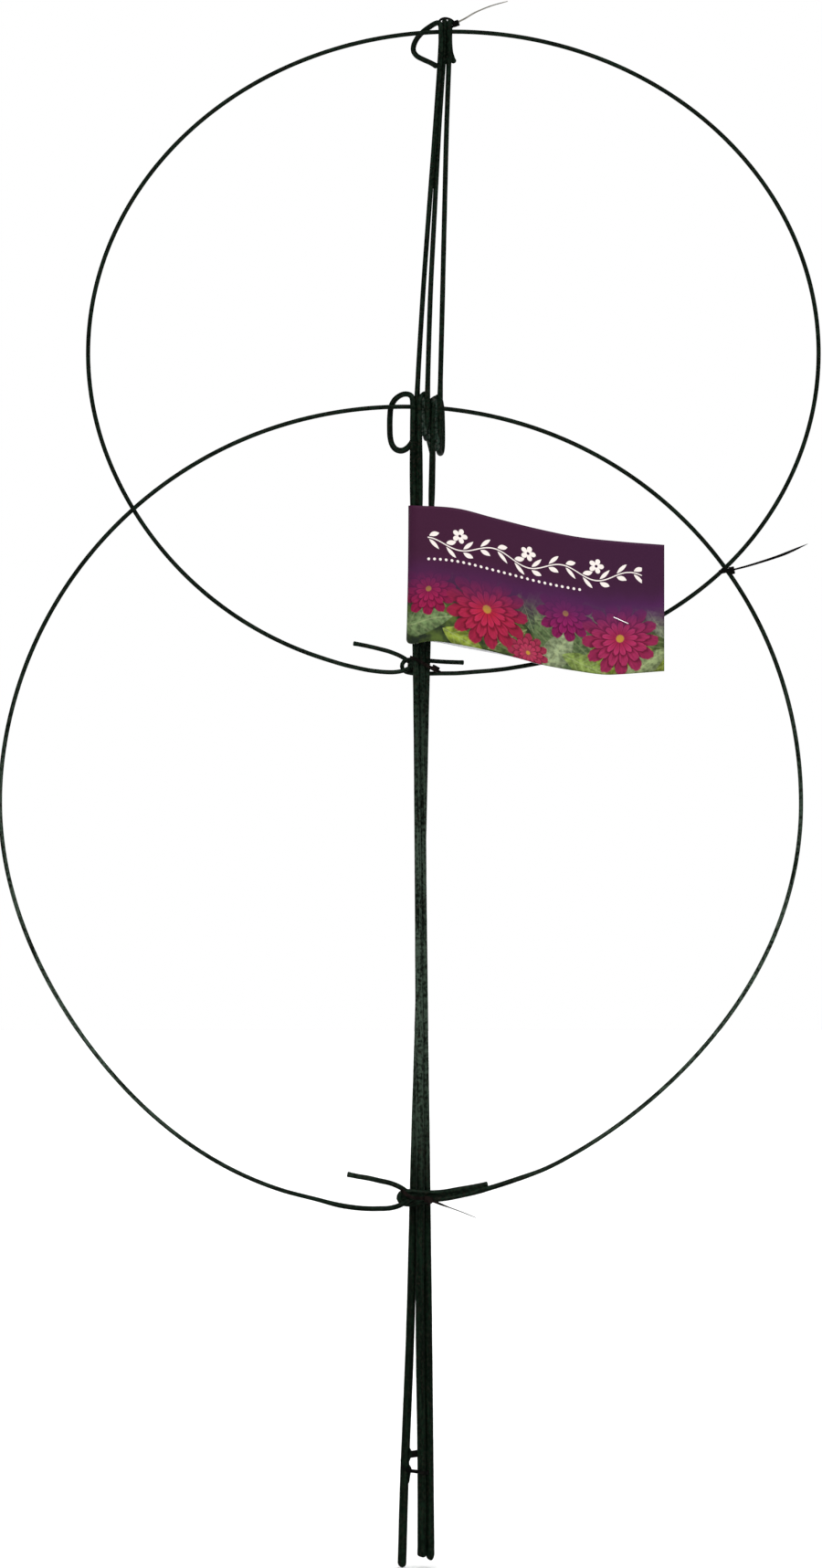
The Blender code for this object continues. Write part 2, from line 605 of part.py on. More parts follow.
def make_card(collections, material):
    """Make the folded card as one bent sheet with two small holes for the staple."""
    parts, cutters = collections
    mesh = bpy.data.meshes.new("label_card")
    bm = bmesh.new()
    rows = []
    section = card_section()
    for index, (x, y) in enumerate(section):
        top = UPPER_HOOK.z + interpolate(CARD_TOP, x / MM) * MM
        bottom = UPPER_HOOK.z + interpolate(CARD_BOTTOM, x / MM) * MM
        rear = index > len(section) / 2
        if rear:
            bottom -= CARD_REAR_DROP * bump(x / MM, 32, 30)
        column = []
        for share in (0, 0.5, 1):
            point = Vector((x, CARD_AXIS.y + y, top + (bottom - top) * share))
            column.append(bm.verts.new(point - CARD_AXIS))
        rows.append(column)
    for first, second in zip(rows, rows[1:]):
        for row in (0, 1):
            bm.faces.new((first[row], first[row + 1], second[row + 1], second[row]))
    bm.to_mesh(mesh)
    bm.free()
    card = place("label_card", mesh, CARD_AXIS, parts, material)
    add_solidify(card, CARD_THICKNESS)
    for index, end in enumerate(STAPLE_ENDS):
        name = f"staple_hole_{index + 1}"
        hole = bpy.data.meshes.new(name)
        bm = bmesh.new()
        turn = Matrix.Rotation(math.pi / 2, 4, "X")
        bmesh.ops.create_cone(bm, cap_ends=True, segments=10, radius1=STAPLE_HOLE_RADIUS,
                              radius2=STAPLE_HOLE_RADIUS, depth=8 * MM, matrix=turn)
        bm.to_mesh(hole)
        bm.free()
        cutter = place(name, hole, Vector((end.x, CARD_AXIS.y, end.z)), cutters)
        hide_cutter(cutter)
        add_boolean(card, cutter, "DIFFERENCE")
    return card


def make_staple(collection, material):
    """Make the staple: crown in front, legs through the holes, ends bent in behind."""
    first, second = STAPLE_ENDS
    run = (second - first).normalized()
    middle = CARD_AXIS.y
    reach = (CARD_PANEL_GAP + CARD_THICKNESS) / 2 + STAPLE_RADIUS + STAPLE_CLEARANCE
    front = middle - reach
    rear = middle + reach
    corner = 0.45 * MM
    tip = (first + second) / 2

    def at(point, depth):
        return Vector((point.x, depth, point.z, STAPLE_RADIUS))

    stations = [
        at(tip - run * (0.8 * MM), rear), at(first + run * (1.2 * MM), rear),
        at(first + run * (0.2 * MM), rear - 0.15 * MM), at(first, rear - corner),
        at(first, front + corner), at(first + run * (0.15 * MM), front + 0.15 * MM),
        at(first + run * corner, front), at(second - run * corner, front),
        at(second - run * (0.15 * MM), front + 0.15 * MM), at(second, front + corner),
        at(second, rear - corner), at(second - run * (0.2 * MM), rear - 0.15 * MM),
        at(second - run * (1.2 * MM), rear), at(tip + run * (0.8 * MM), rear),
    ]
    return make_wire("label_staple", stations, CARD_AXIS, collection, material)


def build():
    """Build the whole support."""
    clear_scene()
    parts = make_collection(OBJECT_NAME)
    cutters = make_collection("cutters")
    collections = (parts, cutters)
    for name in LEGS:
        make_leg(name, parts, make_material(name + "_coat", (0.012, 0.036, 0.024), 0.38))
    make_hoops(parts, make_material("upper_hoop_coat", (0.012, 0.036, 0.024), 0.38),
               make_material("lower_hoop_coat", (0.012, 0.036, 0.024), 0.38))
    for name, tie in TIES.items():
        make_tie(name, tie, collections, make_material(name + "_nylon", (0.02, 0.018, 0.018), 0.45))
    make_card(collections, make_material("label_card_print", (0.45, 0.12, 0.22), 0.4))
    make_staple(parts, make_material("label_staple_steel", (0.75, 0.75, 0.76), 0.25, 1.0))


build()
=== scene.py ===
"""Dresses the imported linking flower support: coated wires, cable ties and a printed card.

Metres, +Z up, seen from -Y. The legs stand on their feet just above the floor. The routes of the
wires and straps start from those of the part's source and are shifted by a few millimetres.
"""
from __future__ import annotations

import logging
import math
from dataclasses import dataclass
from enum import Enum

import bmesh
import bpy
from mathutils import Matrix, Vector, noise

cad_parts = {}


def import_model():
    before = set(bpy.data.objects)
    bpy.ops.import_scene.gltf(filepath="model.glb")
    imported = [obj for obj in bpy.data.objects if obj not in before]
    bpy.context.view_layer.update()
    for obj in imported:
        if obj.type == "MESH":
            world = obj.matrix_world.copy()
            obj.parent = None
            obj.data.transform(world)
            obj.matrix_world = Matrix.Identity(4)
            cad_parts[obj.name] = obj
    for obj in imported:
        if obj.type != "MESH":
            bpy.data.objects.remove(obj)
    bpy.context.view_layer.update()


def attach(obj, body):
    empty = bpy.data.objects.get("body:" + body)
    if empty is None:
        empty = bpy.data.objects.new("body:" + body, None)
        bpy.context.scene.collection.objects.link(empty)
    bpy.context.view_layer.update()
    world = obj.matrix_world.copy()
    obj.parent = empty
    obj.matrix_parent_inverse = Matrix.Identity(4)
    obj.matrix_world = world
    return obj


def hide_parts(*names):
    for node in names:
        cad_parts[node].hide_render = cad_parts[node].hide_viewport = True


LOG = logging.getLogger("flower_support")
MM = 0.001

Colour = tuple[float, float, float]
Triple = tuple[float, float, float]
Table = tuple[tuple[float, float], ...]
Socket = bpy.types.NodeSocket
Value = float | tuple | Vector | Socket


class Body(Enum):
    """The moving bodies of the support."""

    LEGS = "legs"
    UPPER_HOOP = "upper_hoop_body"
    LOWER_HOOP = "lower_hoop_body"
    LABEL = "label"


# Paths


def between(first: Vector, second: Vector, start: float, end: float, time: float) -> Vector:
    """Return the point between two others that belongs to a time between theirs."""
    share = (time - start) / (end - start)
    return first * (1 - share) + second * share


def smooth(points: list[Vector], spans: int = 12) -> list[Vector]:
    """Lay a centripetal Catmull-Rom spline through points.

    Args:
        points: The points to pass through; entries past x, y, z follow along.
        spans: How many steps lie between two of them.

    Returns:
        The points of the spline.
    """
    knots = [points[0] * 2 - points[1]] + points + [points[-1] * 2 - points[-2]]
    result = []
    for before, start, end, after in zip(knots, knots[1:], knots[2:], knots[3:]):
        times = [0.0]
        for first, second in ((before, start), (start, end), (end, after)):
            times.append(times[-1] + max((second - first).length, 1e-7) ** 0.5)
        for index in range(spans):
            time = times[1] + (times[2] - times[1]) * index / spans
            one = between(before, start, times[0], times[1], time)
            two = between(start, end, times[1], times[2], time)
            three = between(end, after, times[2], times[3], time)
            four = between(one, two, times[0], times[2], time)
            five = between(two, three, times[1], times[3], time)
            result.append(between(four, five, times[1], times[2], time))
    result.append(knots[-2])
    return result


def even(points: list[Vector], step: float) -> list[Vector]:
    """Lay points along a path at an even distance.

    Args:
        points: The path, dense enough to be taken as straight between its points.
        step: The distance wanted, in metres.

    Returns:
        The new points, with both ends kept.
    """
    runs = [0.0]
    for first, second in zip(points, points[1:]):
        runs.append(runs[-1] + (second.xyz - first.xyz).length)
    count = max(2, round(runs[-1] / step))
    result = []
    at = 0
    for index in range(count + 1):
        run = runs[-1] * index / count
        while at < len(runs) - 2 and runs[at + 1] < run:
            at += 1
        result.append(between(points[at], points[at + 1], runs[at], max(runs[at + 1], runs[at] + 1e-9), run))
    return result


def interpolate(table: Table, value: float) -> float:
    """Return the value of a table of (key, value) pairs at a key, level past its ends.

    Args:
        table: The pairs, by rising key.
        value: The key to look up.

    Returns:
        The value there.
    """
    if value <= table[0][0]:
        return table[0][1]
    for (low, first), (high, second) in zip(table, table[1:]):
        if value <= high:
            return first + (second - first) * (value - low) / (high - low)
    return table[-1][1]


def curved(table: Table) -> Table:
    """Return a table of pairs with a smooth curve laid through it."""
    points = smooth([Vector((key, value, 0)) for key, value in table])
    return tuple((point.x, point.y) for point in points)


def bump(angle: float, centre: float, half_width: float) -> float:
    """Return a rounded bump of height 1 round a centre angle, in degrees."""
    distance = abs((angle - centre + 180) % 360 - 180) / half_width
    return 0.0 if distance >= 1 else math.cos(distance * math.pi / 2) ** 2


# Materials


class Graph:
    """Adds shader nodes to a tree, each fed by values or by the outputs of others."""

    def __init__(self, tree: bpy.types.NodeTree) -> None:
        """Work on one node tree."""
        self.tree = tree

    def feed(self, socket: Socket, value: Value) -> None:
        """Link an output to an input, or set the input's own value.

        Args:
            socket: The input.
            value: An output to link, or a value to set.
        """
        if isinstance(value, Socket):
            self.tree.links.new(value, socket)
        elif socket.type == "RGBA":
            socket.default_value = (*value, 1)
        else:
            socket.default_value = value

    def node(self, kind: str, inputs: dict[str, Value] | None = None, **settings: object) -> bpy.types.Node:
        """Add a node.

        Args:
            kind: Blender's name of the node.
            inputs: Values or outputs by the name of the input.
            settings: The node's own settings.

        Returns:
            The new node.
        """
        made = self.tree.nodes.new(kind)
        for key, value in settings.items():
            setattr(made, key, value)
        for key, value in (inputs or {}).items():
            self.feed(made.inputs[key], value)
        return made

    def math(self, operation: str, *values: Value) -> Socket:
        """Return the result of a math node on one to three values."""
        made = self.node("ShaderNodeMath", operation=operation)
        for socket, value in zip(made.inputs, values):
            self.feed(socket, value)
        return made.outputs[0]

    def distance(self, x: Socket, y: Socket) -> Socket:
        """Return the distance of a place from the origin."""
        return self.math("SQRT", self.math("ADD", self.math("MULTIPLY", x, x), self.math("MULTIPLY", y, y)))

    def turned(self, x: Socket, y: Socket, cosine: Value, sine: Value) -> tuple[Socket, Socket]:
        """Return a place's run along a turned line and its distance to the left of it."""
        run = self.math("ADD", self.math("MULTIPLY", x, cosine), self.math("MULTIPLY", y, sine))
        side = self.math("SUBTRACT", self.math("MULTIPLY", y, cosine), self.math("MULTIPLY", x, sine))
        return run, side

    def parts(self, vector: Socket) -> tuple[Socket, Socket, Socket]:
        """Return the x, y and z of a vector."""
        made = self.node("ShaderNodeSeparateXYZ", {"Vector": vector})
        return made.outputs[0], made.outputs[1], made.outputs[2]

    def joined(self, x: Value, y: Value, z: Value = 0.0) -> Socket:
        """Return a vector made of x, y and z."""
        return self.node("ShaderNodeCombineXYZ", {"X": x, "Y": y, "Z": z}).outputs[0]

    def fade(self, value: Value, low: Value, high: Value, first: Value = 0.0, last: Value = 1.0) -> Socket:
        """Return a value eased from first to last while the given one goes from low to high."""
        inputs = {"Value": value, "From Min": low, "From Max": high, "To Min": first, "To Max": last}
        return self.node("ShaderNodeMapRange", inputs, interpolation_type="SMOOTHSTEP").outputs[0]

    def mix(self, share: Value, first: Value, second: Value) -> Socket:
        """Return a colour between two, the first at share 0."""
        made = self.node("ShaderNodeMix", data_type="RGBA")
        self.feed(made.inputs[0], share)
        self.feed(made.inputs[6], first)
        self.feed(made.inputs[7], second)
        return made.outputs[2]

    def shade(self, first: Value, second: Value) -> Socket:
        """Return the product of two colours, with no change of a socket's kind on the way.

        Args:
            first: One colour.
            second: The other.

        Returns:
            Their product.
        """
        made = self.node("ShaderNodeMix", data_type="RGBA", blend_type="MULTIPLY")
        for socket, value in zip((made.inputs[0], made.inputs[6], made.inputs[7]), (1.0, first, second)):
            self.feed(socket, value)
        return made.outputs[2]

    def grey(self, value: Socket) -> Socket:
        """Return the grey colour of a brightness."""
        return self.node("ShaderNodeCombineColor", {"Red": value, "Green": value, "Blue": value}).outputs[0]

    def cloud(self, vector: Socket, scale: float, detail: float = 2.0) -> Socket:
        """Return soft noise between 0 and 1 at a scale."""
        inputs = {"Vector": vector, "Scale": scale, "Detail": detail}
        return self.node("ShaderNodeTexNoise", inputs).outputs[0]

    def stretched(self, vector: Socket, scale: Triple) -> Socket:
        """Return coordinates scaled by a factor on each axis."""
        made = self.node("ShaderNodeVectorMath", operation="MULTIPLY")
        self.feed(made.inputs[0], vector)
        self.feed(made.inputs[1], scale)
        return made.outputs[0]

    def place(self) -> Socket:
        """Return the coordinates of the object itself."""
        return self.node("ShaderNodeTexCoord").outputs["Object"]

    def map(self, name: str) -> Socket:
        """Return the coordinates of a named UV map."""
        return self.node("ShaderNodeUVMap", uv_map=name).outputs[0]

    def relief(self, shader: bpy.types.Node, height: Socket, depth: float, strength: float) -> None:
        """Raise a surface's relief by a height between 0 and 1, over a depth in metres."""
        inputs = {"Height": height, "Distance": depth, "Strength": strength}
        self.feed(shader.inputs["Normal"], self.node("ShaderNodeBump", inputs).outputs[0])


@dataclass(frozen=True)
class Finish:
    """A surface finish, which builds its node material once."""

    name: str

    def material(self) -> bpy.types.Material:
        """Return the finish's material, built at its first use.

        Returns:
            The material.
        """
        found = bpy.data.materials.get(self.name)
        if found:
            return found
        made = bpy.data.materials.new(self.name)
        made.use_nodes = True
        self.dress(Graph(made.node_tree), made.node_tree.nodes["Principled BSDF"])
        return made

    def dress(self, graph: Graph, shader: bpy.types.Node) -> None:
        """Feed the shader; each kind of finish has its own way."""
        raise NotImplementedError


@dataclass(frozen=True)
class DippedCoat(Finish):
    """Green plastic coat that the wire was dipped in, drawn out lengthwise and a little dusty.

    Between two heights over the piece's origin a painted highlight makes it paler along its streaks; the
    highlight's rise is the stretch over which that starts and its fall the one over which it ends.
    """

    deep: Colour = (0.0006, 0.0020, 0.0009)
    light: Colour = (0.0022, 0.0072, 0.0036)
    painted_highlight: Colour = (0.031, 0.047, 0.034)
    dust: Colour = (0.012, 0.009, 0.0065)
    dust_share: float = 0.45
    gloss: float = 0.02
    smoothest: float = 0.34
    roughest: float = 0.55
    highlight_rise: tuple[float, float] = (0.205, 0.31)
    highlight_fall: tuple[float, float] = (0.38, 0.57)
    highlight_above: float = 0.05

    def dress(self, graph: Graph, shader: bpy.types.Node) -> None:
        """Vary the green along the wire, paint a highlight on it between two heights, dust it, and give it
        the coat's uneven skin.

        Args:
            graph: The material's graph.
            shader: The surface shader that it feeds.
        """
        place = graph.place()
        along = graph.stretched(graph.map("Wire"), (10.0, 30.0, 1.0))
        streaks = graph.cloud(along, 1.0, 3.0)
        clouds = graph.cloud(place, 520.0, 4.0)
        tone = graph.math("MULTIPLY_ADD", streaks, 0.5, graph.math("MULTIPLY", clouds, 0.5))
        green = graph.mix(graph.fade(tone, 0.44, 0.60), self.deep, self.light)
        # Painted highlight: between two heights the coat is paler along its streaks, lit-looking rather than
        # worn.
        _, _, up = graph.parts(place)
        rise = graph.fade(up, *self.highlight_rise)
        highlight_band = graph.math("MULTIPLY", rise, graph.fade(up, *self.highlight_fall, 1.0, self.highlight_above))
        pale = graph.math("MULTIPLY", highlight_band, graph.fade(tone, 0.41, 0.59, 0.02, 0.98))
        green = graph.mix(pale, green, self.painted_highlight)
        specks = graph.fade(graph.cloud(place, 700.0, 4.0), 0.50, 0.66, 0.0, self.dust_share)
        graph.feed(shader.inputs["Base Color"], graph.mix(specks, green, self.dust))
        shader.inputs["Specular IOR Level"].default_value = self.gloss
        skin = graph.cloud(place, 420.0, 2.0)
        graph.feed(shader.inputs["Roughness"], graph.fade(skin, 0.3, 0.7, self.smoothest, self.roughest))
        waves = graph.cloud(place, 160.0, 2.0)
        height = graph.math("MULTIPLY_ADD", waves, 0.7, graph.math("MULTIPLY", skin, 0.3))
        graph.relief(shader, height, 0.22 * MM, 0.55)


@dataclass(frozen=True)
class MouldedNylon(Finish):
    """Moulded nylon of the cable ties, with a fine matt skin."""

    core: Colour = (0.0010, 0.0011, 0.0009)
    rubbed: Colour = (0.0045, 0.0040, 0.0034)
    rubbed_share: float = 0.6
    gloss: float = 0.015

    def dress(self, graph: Graph, shader: bpy.types.Node) -> None:
        """Rub the colour paler in patches, with a grain from the mould.

        Args:
            graph: The material's graph.
            shader: The surface shader that it feeds.
        """
        place = graph.place()
        patches = graph.fade(graph.cloud(place, 260.0, 3.0), 0.42, 0.66, 0.0, self.rubbed_share)
        graph.feed(shader.inputs["Base Color"], graph.mix(patches, self.core, self.rubbed))
        shader.inputs["Specular IOR Level"].default_value = self.gloss
        grain = graph.cloud(place, 2600.0, 2.0)
        graph.feed(shader.inputs["Roughness"], graph.fade(grain, 0.2, 0.8, 0.38, 0.55))
        graph.relief(shader, grain, 0.05 * MM, 0.4)


@dataclass(frozen=True)
class GreyBoard(Finish):
    """Uncoated inside and cut edges of the card."""

    pale: Colour = (0.62, 0.62, 0.64)
    fibre: Colour = (0.46, 0.46, 0.47)

    def dress(self, graph: Graph, shader: bpy.types.Node) -> None:
        """Fleck the board with fibres.

        Args:
            graph: The material's graph.
            shader: The surface shader that it feeds.
        """
        place = graph.place()
        fibres = graph.cloud(graph.stretched(place, (500.0, 500.0, 2200.0)), 1.0, 4.0)
        tint = graph.mix(graph.fade(fibres, 0.4, 0.7), self.pale, self.fibre)
        graph.feed(shader.inputs["Base Color"], tint)
        graph.feed(shader.inputs["Roughness"], graph.fade(fibres, 0.3, 0.7, 0.8, 0.92))
        graph.relief(shader, fibres, 0.03 * MM, 0.5)


@dataclass(frozen=True)
class DrawnSteel(Finish):
    """Drawn steel of the staple, with fine lengthwise scratches."""

    bright: Colour = (0.80, 0.79, 0.78)
    dull: Colour = (0.55, 0.54, 0.53)

    def dress(self, graph: Graph, shader: bpy.types.Node) -> None:
        """Scratch the steel along the wire.

        Args:
            graph: The material's graph.
            shader: The surface shader that it feeds.
        """
        scratches = graph.cloud(graph.stretched(graph.map("Wire"), (40.0, 300.0, 1.0)), 1.0, 3.0)
        tint = graph.mix(graph.fade(scratches, 0.35, 0.65), self.bright, self.dull)
        graph.feed(shader.inputs["Base Color"], tint)
        shader.inputs["Metallic"].default_value = 1.0
        graph.feed(shader.inputs["Roughness"], graph.fade(scratches, 0.3, 0.7, 0.28, 0.42))


@dataclass(frozen=True)
class PaleFloor(Finish):
    """Plain pale floor of the studio."""

    tint: Colour = (0.93, 0.93, 0.93)

    def dress(self, graph: Graph, shader: bpy.types.Node) -> None:
        """Keep the floor plain and matt."""
        shader.inputs["Base Color"].default_value = (*self.tint, 1)
        shader.inputs["Roughness"].default_value = 0.95
        shader.inputs["Specular IOR Level"].default_value = 0.1


@dataclass(frozen=True)
class Blossom:
    """One printed open blossom: centre and size in millimetres on the card, turn in degrees."""

    across: float
    up: float
    size: float
    turn: float
    petals: int
    heart: Colour
    rim: Colour


@dataclass(frozen=True)
class Leaf:
    """One printed leaf: centre, half length, half width in millimetres, turn in degrees."""

    across: float
    up: float
    length: float
    width: float
    turn: float
    tint: Colour


@dataclass(frozen=True)
class FlowerPrint(Finish):
    """Glossy floral print: blossoms and leaves below, a plum band with a cream sprig above."""

    plum: Colour = (0.060, 0.016, 0.050)
    violet: Colour = (0.105, 0.022, 0.115)
    cream: Colour = (0.58, 0.53, 0.50)
    ink: float = 0.48
    shade: Colour = (0.018, 0.028, 0.016)
    olive: Colour = (0.110, 0.165, 0.035)
    width: float = 150.0
    height: float = 82.0
    repeat: float = 40.0
    sprig_height: float = 60.0
    sprig_swing: float = 3.2
    sprig_start: float = 11.0
    sprig_end: float = 137.0
    bead_height: float = 50.0
    bead_pitch: float = 3.4
    bead_end: float = 102.0
    blossoms: tuple[Blossom, ...] = (
        Blossom(70, 5, 12, 10, 11, (0.45, 0.06, 0.10), (0.62, 0.05, 0.13)),
        Blossom(12, 32, 16, 25, 11, (0.40, 0.01, 0.07), (0.52, 0.02, 0.11)),
        Blossom(92, 34, 17, 14, 11, (0.30, 0.01, 0.10), (0.42, 0.02, 0.16)),
        Blossom(46, 25, 24, 0, 13, (0.55, 0.02, 0.05), (0.62, 0.03, 0.10)),
        Blossom(124, 22, 23, 5, 13, (0.40, 0.02, 0.08), (0.56, 0.04, 0.15)),
    )
    leaves: tuple[Leaf, ...] = (
        Leaf(10, 13, 17, 8, 12, (0.20, 0.30, 0.12)),
        Leaf(33, 3, 14, 6, -24, (0.34, 0.44, 0.06)),
        Leaf(58, 10, 15, 6, 38, (0.14, 0.20, 0.06)),
        Leaf(88, 11, 17, 8, 58, (0.36, 0.44, 0.24)),
        Leaf(104, 4, 15, 6, -18, (0.30, 0.42, 0.10)),
        Leaf(140, 6, 16, 7, 34, (0.32, 0.40, 0.18)),
        Leaf(146, 30, 12, 5, -60, (0.24, 0.28, 0.18)),
        Leaf(70, 27, 10, 4, -70, (0.10, 0.16, 0.07)),
    )

    def dress(self, graph: Graph, shader: bpy.types.Node) -> None:
        """Lay the print's layers over each other and gloss them.

        Args:
            graph: The material's graph.
            shader: The surface shader that it feeds.
        """
        across, up, _ = graph.parts(graph.map("Print"))
        across = graph.math("MULTIPLY", graph.math("ABSOLUTE", across), self.width)
        up = graph.math("MULTIPLY", up, self.height)
        where = graph.joined(across, up)
        colour = self.undergrowth(graph, where)
        spot = {"Across": across, "Up": up, "Grain": graph.cloud(where, 0.35, 3.0)}
        leaf_group = self.leaf_group()
        for leaf in self.leaves:
            colour = self.laid(graph, leaf_group, colour, spot, leaf)
        spot["Grain"] = graph.cloud(where, 0.42, 3.0)
        blossom_group = self.blossom_group()
        for blossom in self.blossoms:
            colour = self.laid(graph, blossom_group, colour, spot, blossom)
        colour = self.band(graph, where, across, up, colour)
        colour = graph.shade(colour, (self.ink, self.ink, self.ink))
        colour = self.sprig(graph, across, up, colour)
        ink = graph.cloud(where, 7.0, 3.0)
        colour = graph.mix(graph.fade(ink, 0.35, 0.75, 0.0, 0.16), colour, (0.02, 0.012, 0.02))
        graph.feed(shader.inputs["Base Color"], colour)
        shader.inputs["Specular IOR Level"].default_value = 0.03
        gloss = graph.cloud(where, 0.5, 3.0)
        graph.feed(shader.inputs["Roughness"], graph.fade(gloss, 0.3, 0.7, 0.38, 0.5))
        graph.relief(shader, graph.cloud(where, 0.16, 2.0), 0.25 * MM, 0.35)

    def undergrowth(self, graph: Graph, where: Socket) -> Socket:
        """Return the blurred foliage behind everything."""
        clumps = graph.cloud(where, 0.09, 3.0)
        colour = graph.mix(graph.fade(clumps, 0.38, 0.62), self.shade, self.olive)
        glints = graph.fade(graph.cloud(graph.stretched(where, (0.22, 0.12, 1.0)), 1.0, 2.0), 0.60, 0.74)
        return graph.mix(graph.math("MULTIPLY", glints, 0.7), colour, (0.34, 0.42, 0.12))

    def laid(self, graph: Graph, group: bpy.types.NodeTree, under: Socket, spot: dict[str, Value],
             motif: Blossom | Leaf) -> Socket:
        """Lay one motif over what is under it.

        Args:
            graph: The material's graph.
            group: The node group that draws the motif.
            under: The colour so far.
            spot: The place on the card in millimetres, and the print's grain there.
            motif: The blossom or leaf.

        Returns:
            The colour with the motif on it.
        """
        made = graph.node("ShaderNodeGroup", node_tree=group)
        inputs = spot | {"Middle": motif.across, "Level": motif.up, "Turn": math.radians(motif.turn)}
        if isinstance(motif, Blossom):
            inputs |= {"Size": motif.size, "Petals": motif.petals / 2, "Heart": motif.heart, "Rim": motif.rim}
        else:
            inputs |= {"Length": motif.length, "Width": motif.width, "Tint": motif.tint}
        for key, value in inputs.items():
            graph.feed(made.inputs[key], value)
        return graph.mix(made.outputs["Mask"], under, made.outputs["Colour"])

    def group(self, name: str, numbers: tuple[str, ...],
              colours: tuple[str, ...]) -> tuple[bpy.types.NodeTree, Graph, bpy.types.Node]:
        """Start a node group for a motif, with a colour and a mask as outputs.

        It takes numbers and colours only. A socket whose kind changes on the way makes the
        renderer hold more of the motifs' values at once, and past its limit the card is black.

        Args:
            name: The group's name.
            numbers: The names of the motif's own numbers.
            colours: The names of its colours.

        Returns:
            The group, its graph and its input node.
        """
        tree = bpy.data.node_groups.new(name, "ShaderNodeTree")
        for key in ("Across", "Up", "Grain", "Middle", "Level", "Turn") + numbers:
            tree.interface.new_socket(key, in_out="INPUT", socket_type="NodeSocketFloat")
        for key in colours:
            tree.interface.new_socket(key, in_out="INPUT", socket_type="NodeSocketColor")
        tree.interface.new_socket("Colour", in_out="OUTPUT", socket_type="NodeSocketColor")
        tree.interface.new_socket("Mask", in_out="OUTPUT", socket_type="NodeSocketFloat")
        graph = Graph(tree)
        return tree, graph, graph.node("NodeGroupInput")

    def offset(self, graph: Graph, entry: bpy.types.Node) -> tuple[Socket, Socket]:
        """Return how far a place lies to the right of a motif's centre and above it."""
        return (graph.math("SUBTRACT", entry.outputs["Across"], entry.outputs["Middle"]),
                graph.math("SUBTRACT", entry.outputs["Up"], entry.outputs["Level"]))

    def polar(self, graph: Graph, entry: bpy.types.Node) -> tuple[Socket, Socket]:
        """Return the distance from a motif's centre in its sizes, and the angle round it.

        Args:
            graph: The group's graph.
            entry: The group's input node.

        Returns:
            The distance and the angle.
        """
        x, y = self.offset(graph, entry)
        reach = graph.distance(x, y)
        angle = graph.math("ADD", graph.math("ARCTAN2", y, x), entry.outputs["Turn"])
        return graph.math("DIVIDE", reach, entry.outputs["Size"]), angle

    def blossom_group(self) -> bpy.types.NodeTree:
        """Return the node group of an open blossom with three rings of petals.

        Returns:
            The group.
        """
        tree, graph, entry = self.group("open_blossom", ("Size", "Petals"), ("Heart", "Rim"))
        reach, angle = self.polar(graph, entry)
        ruffle = entry.outputs["Grain"]
        spokes = graph.joined(graph.math("MULTIPLY", angle, 3.2), graph.math("MULTIPLY", reach, 0.8))
        veins = graph.cloud(spokes, 4.0, 3.0)
        colour: Socket = entry.outputs["Rim"]
        mask: Value = 0.0
        rings = ((0.0, 0.64, 0.36, 0.85), (0.35, 0.46, 0.28, 1.1), (0.8, 0.26, 0.20, 1.35))
        for shift, low, rise, lift in rings:
            turned = graph.math("MULTIPLY", graph.math("ADD", angle, shift), entry.outputs["Petals"])
            wave = graph.math("ABSOLUTE", graph.math("COSINE", turned))
            lobe = graph.math("MULTIPLY_ADD", graph.math("POWER", wave, 0.55), rise, low - 0.07)
            rim = graph.math("MULTIPLY_ADD", ruffle, 0.14, lobe)
            inside = graph.fade(graph.math("SUBTRACT", rim, reach), -0.02, 0.03)
            depth = graph.fade(graph.math("DIVIDE", reach, rim), 0.25, 1.0)
            petal = graph.mix(depth, entry.outputs["Heart"], entry.outputs["Rim"])
            light = graph.math("MULTIPLY_ADD", veins, 0.8 * lift, 0.30 * lift)
            light = graph.math("MULTIPLY", light, graph.fade(wave, 0.0, 0.45, 0.5, 1.0))
            lit = graph.shade(petal, graph.grey(light))
            if shift:
                edge = graph.fade(graph.math("SUBTRACT", reach, rim), 0.0, 0.12, 0.45, 1.0)
                under = graph.shade(colour, graph.grey(edge))
                colour = graph.mix(inside, under, lit)
            else:
                colour = lit
                mask = inside
        eye = graph.fade(graph.math("MULTIPLY_ADD", veins, 0.06, reach), 0.11, 0.15, 1.0, 0.0)
        colour = graph.mix(eye, colour, (0.62, 0.34, 0.05))
        graph.node("NodeGroupOutput", {"Colour": colour, "Mask": mask})
        return tree

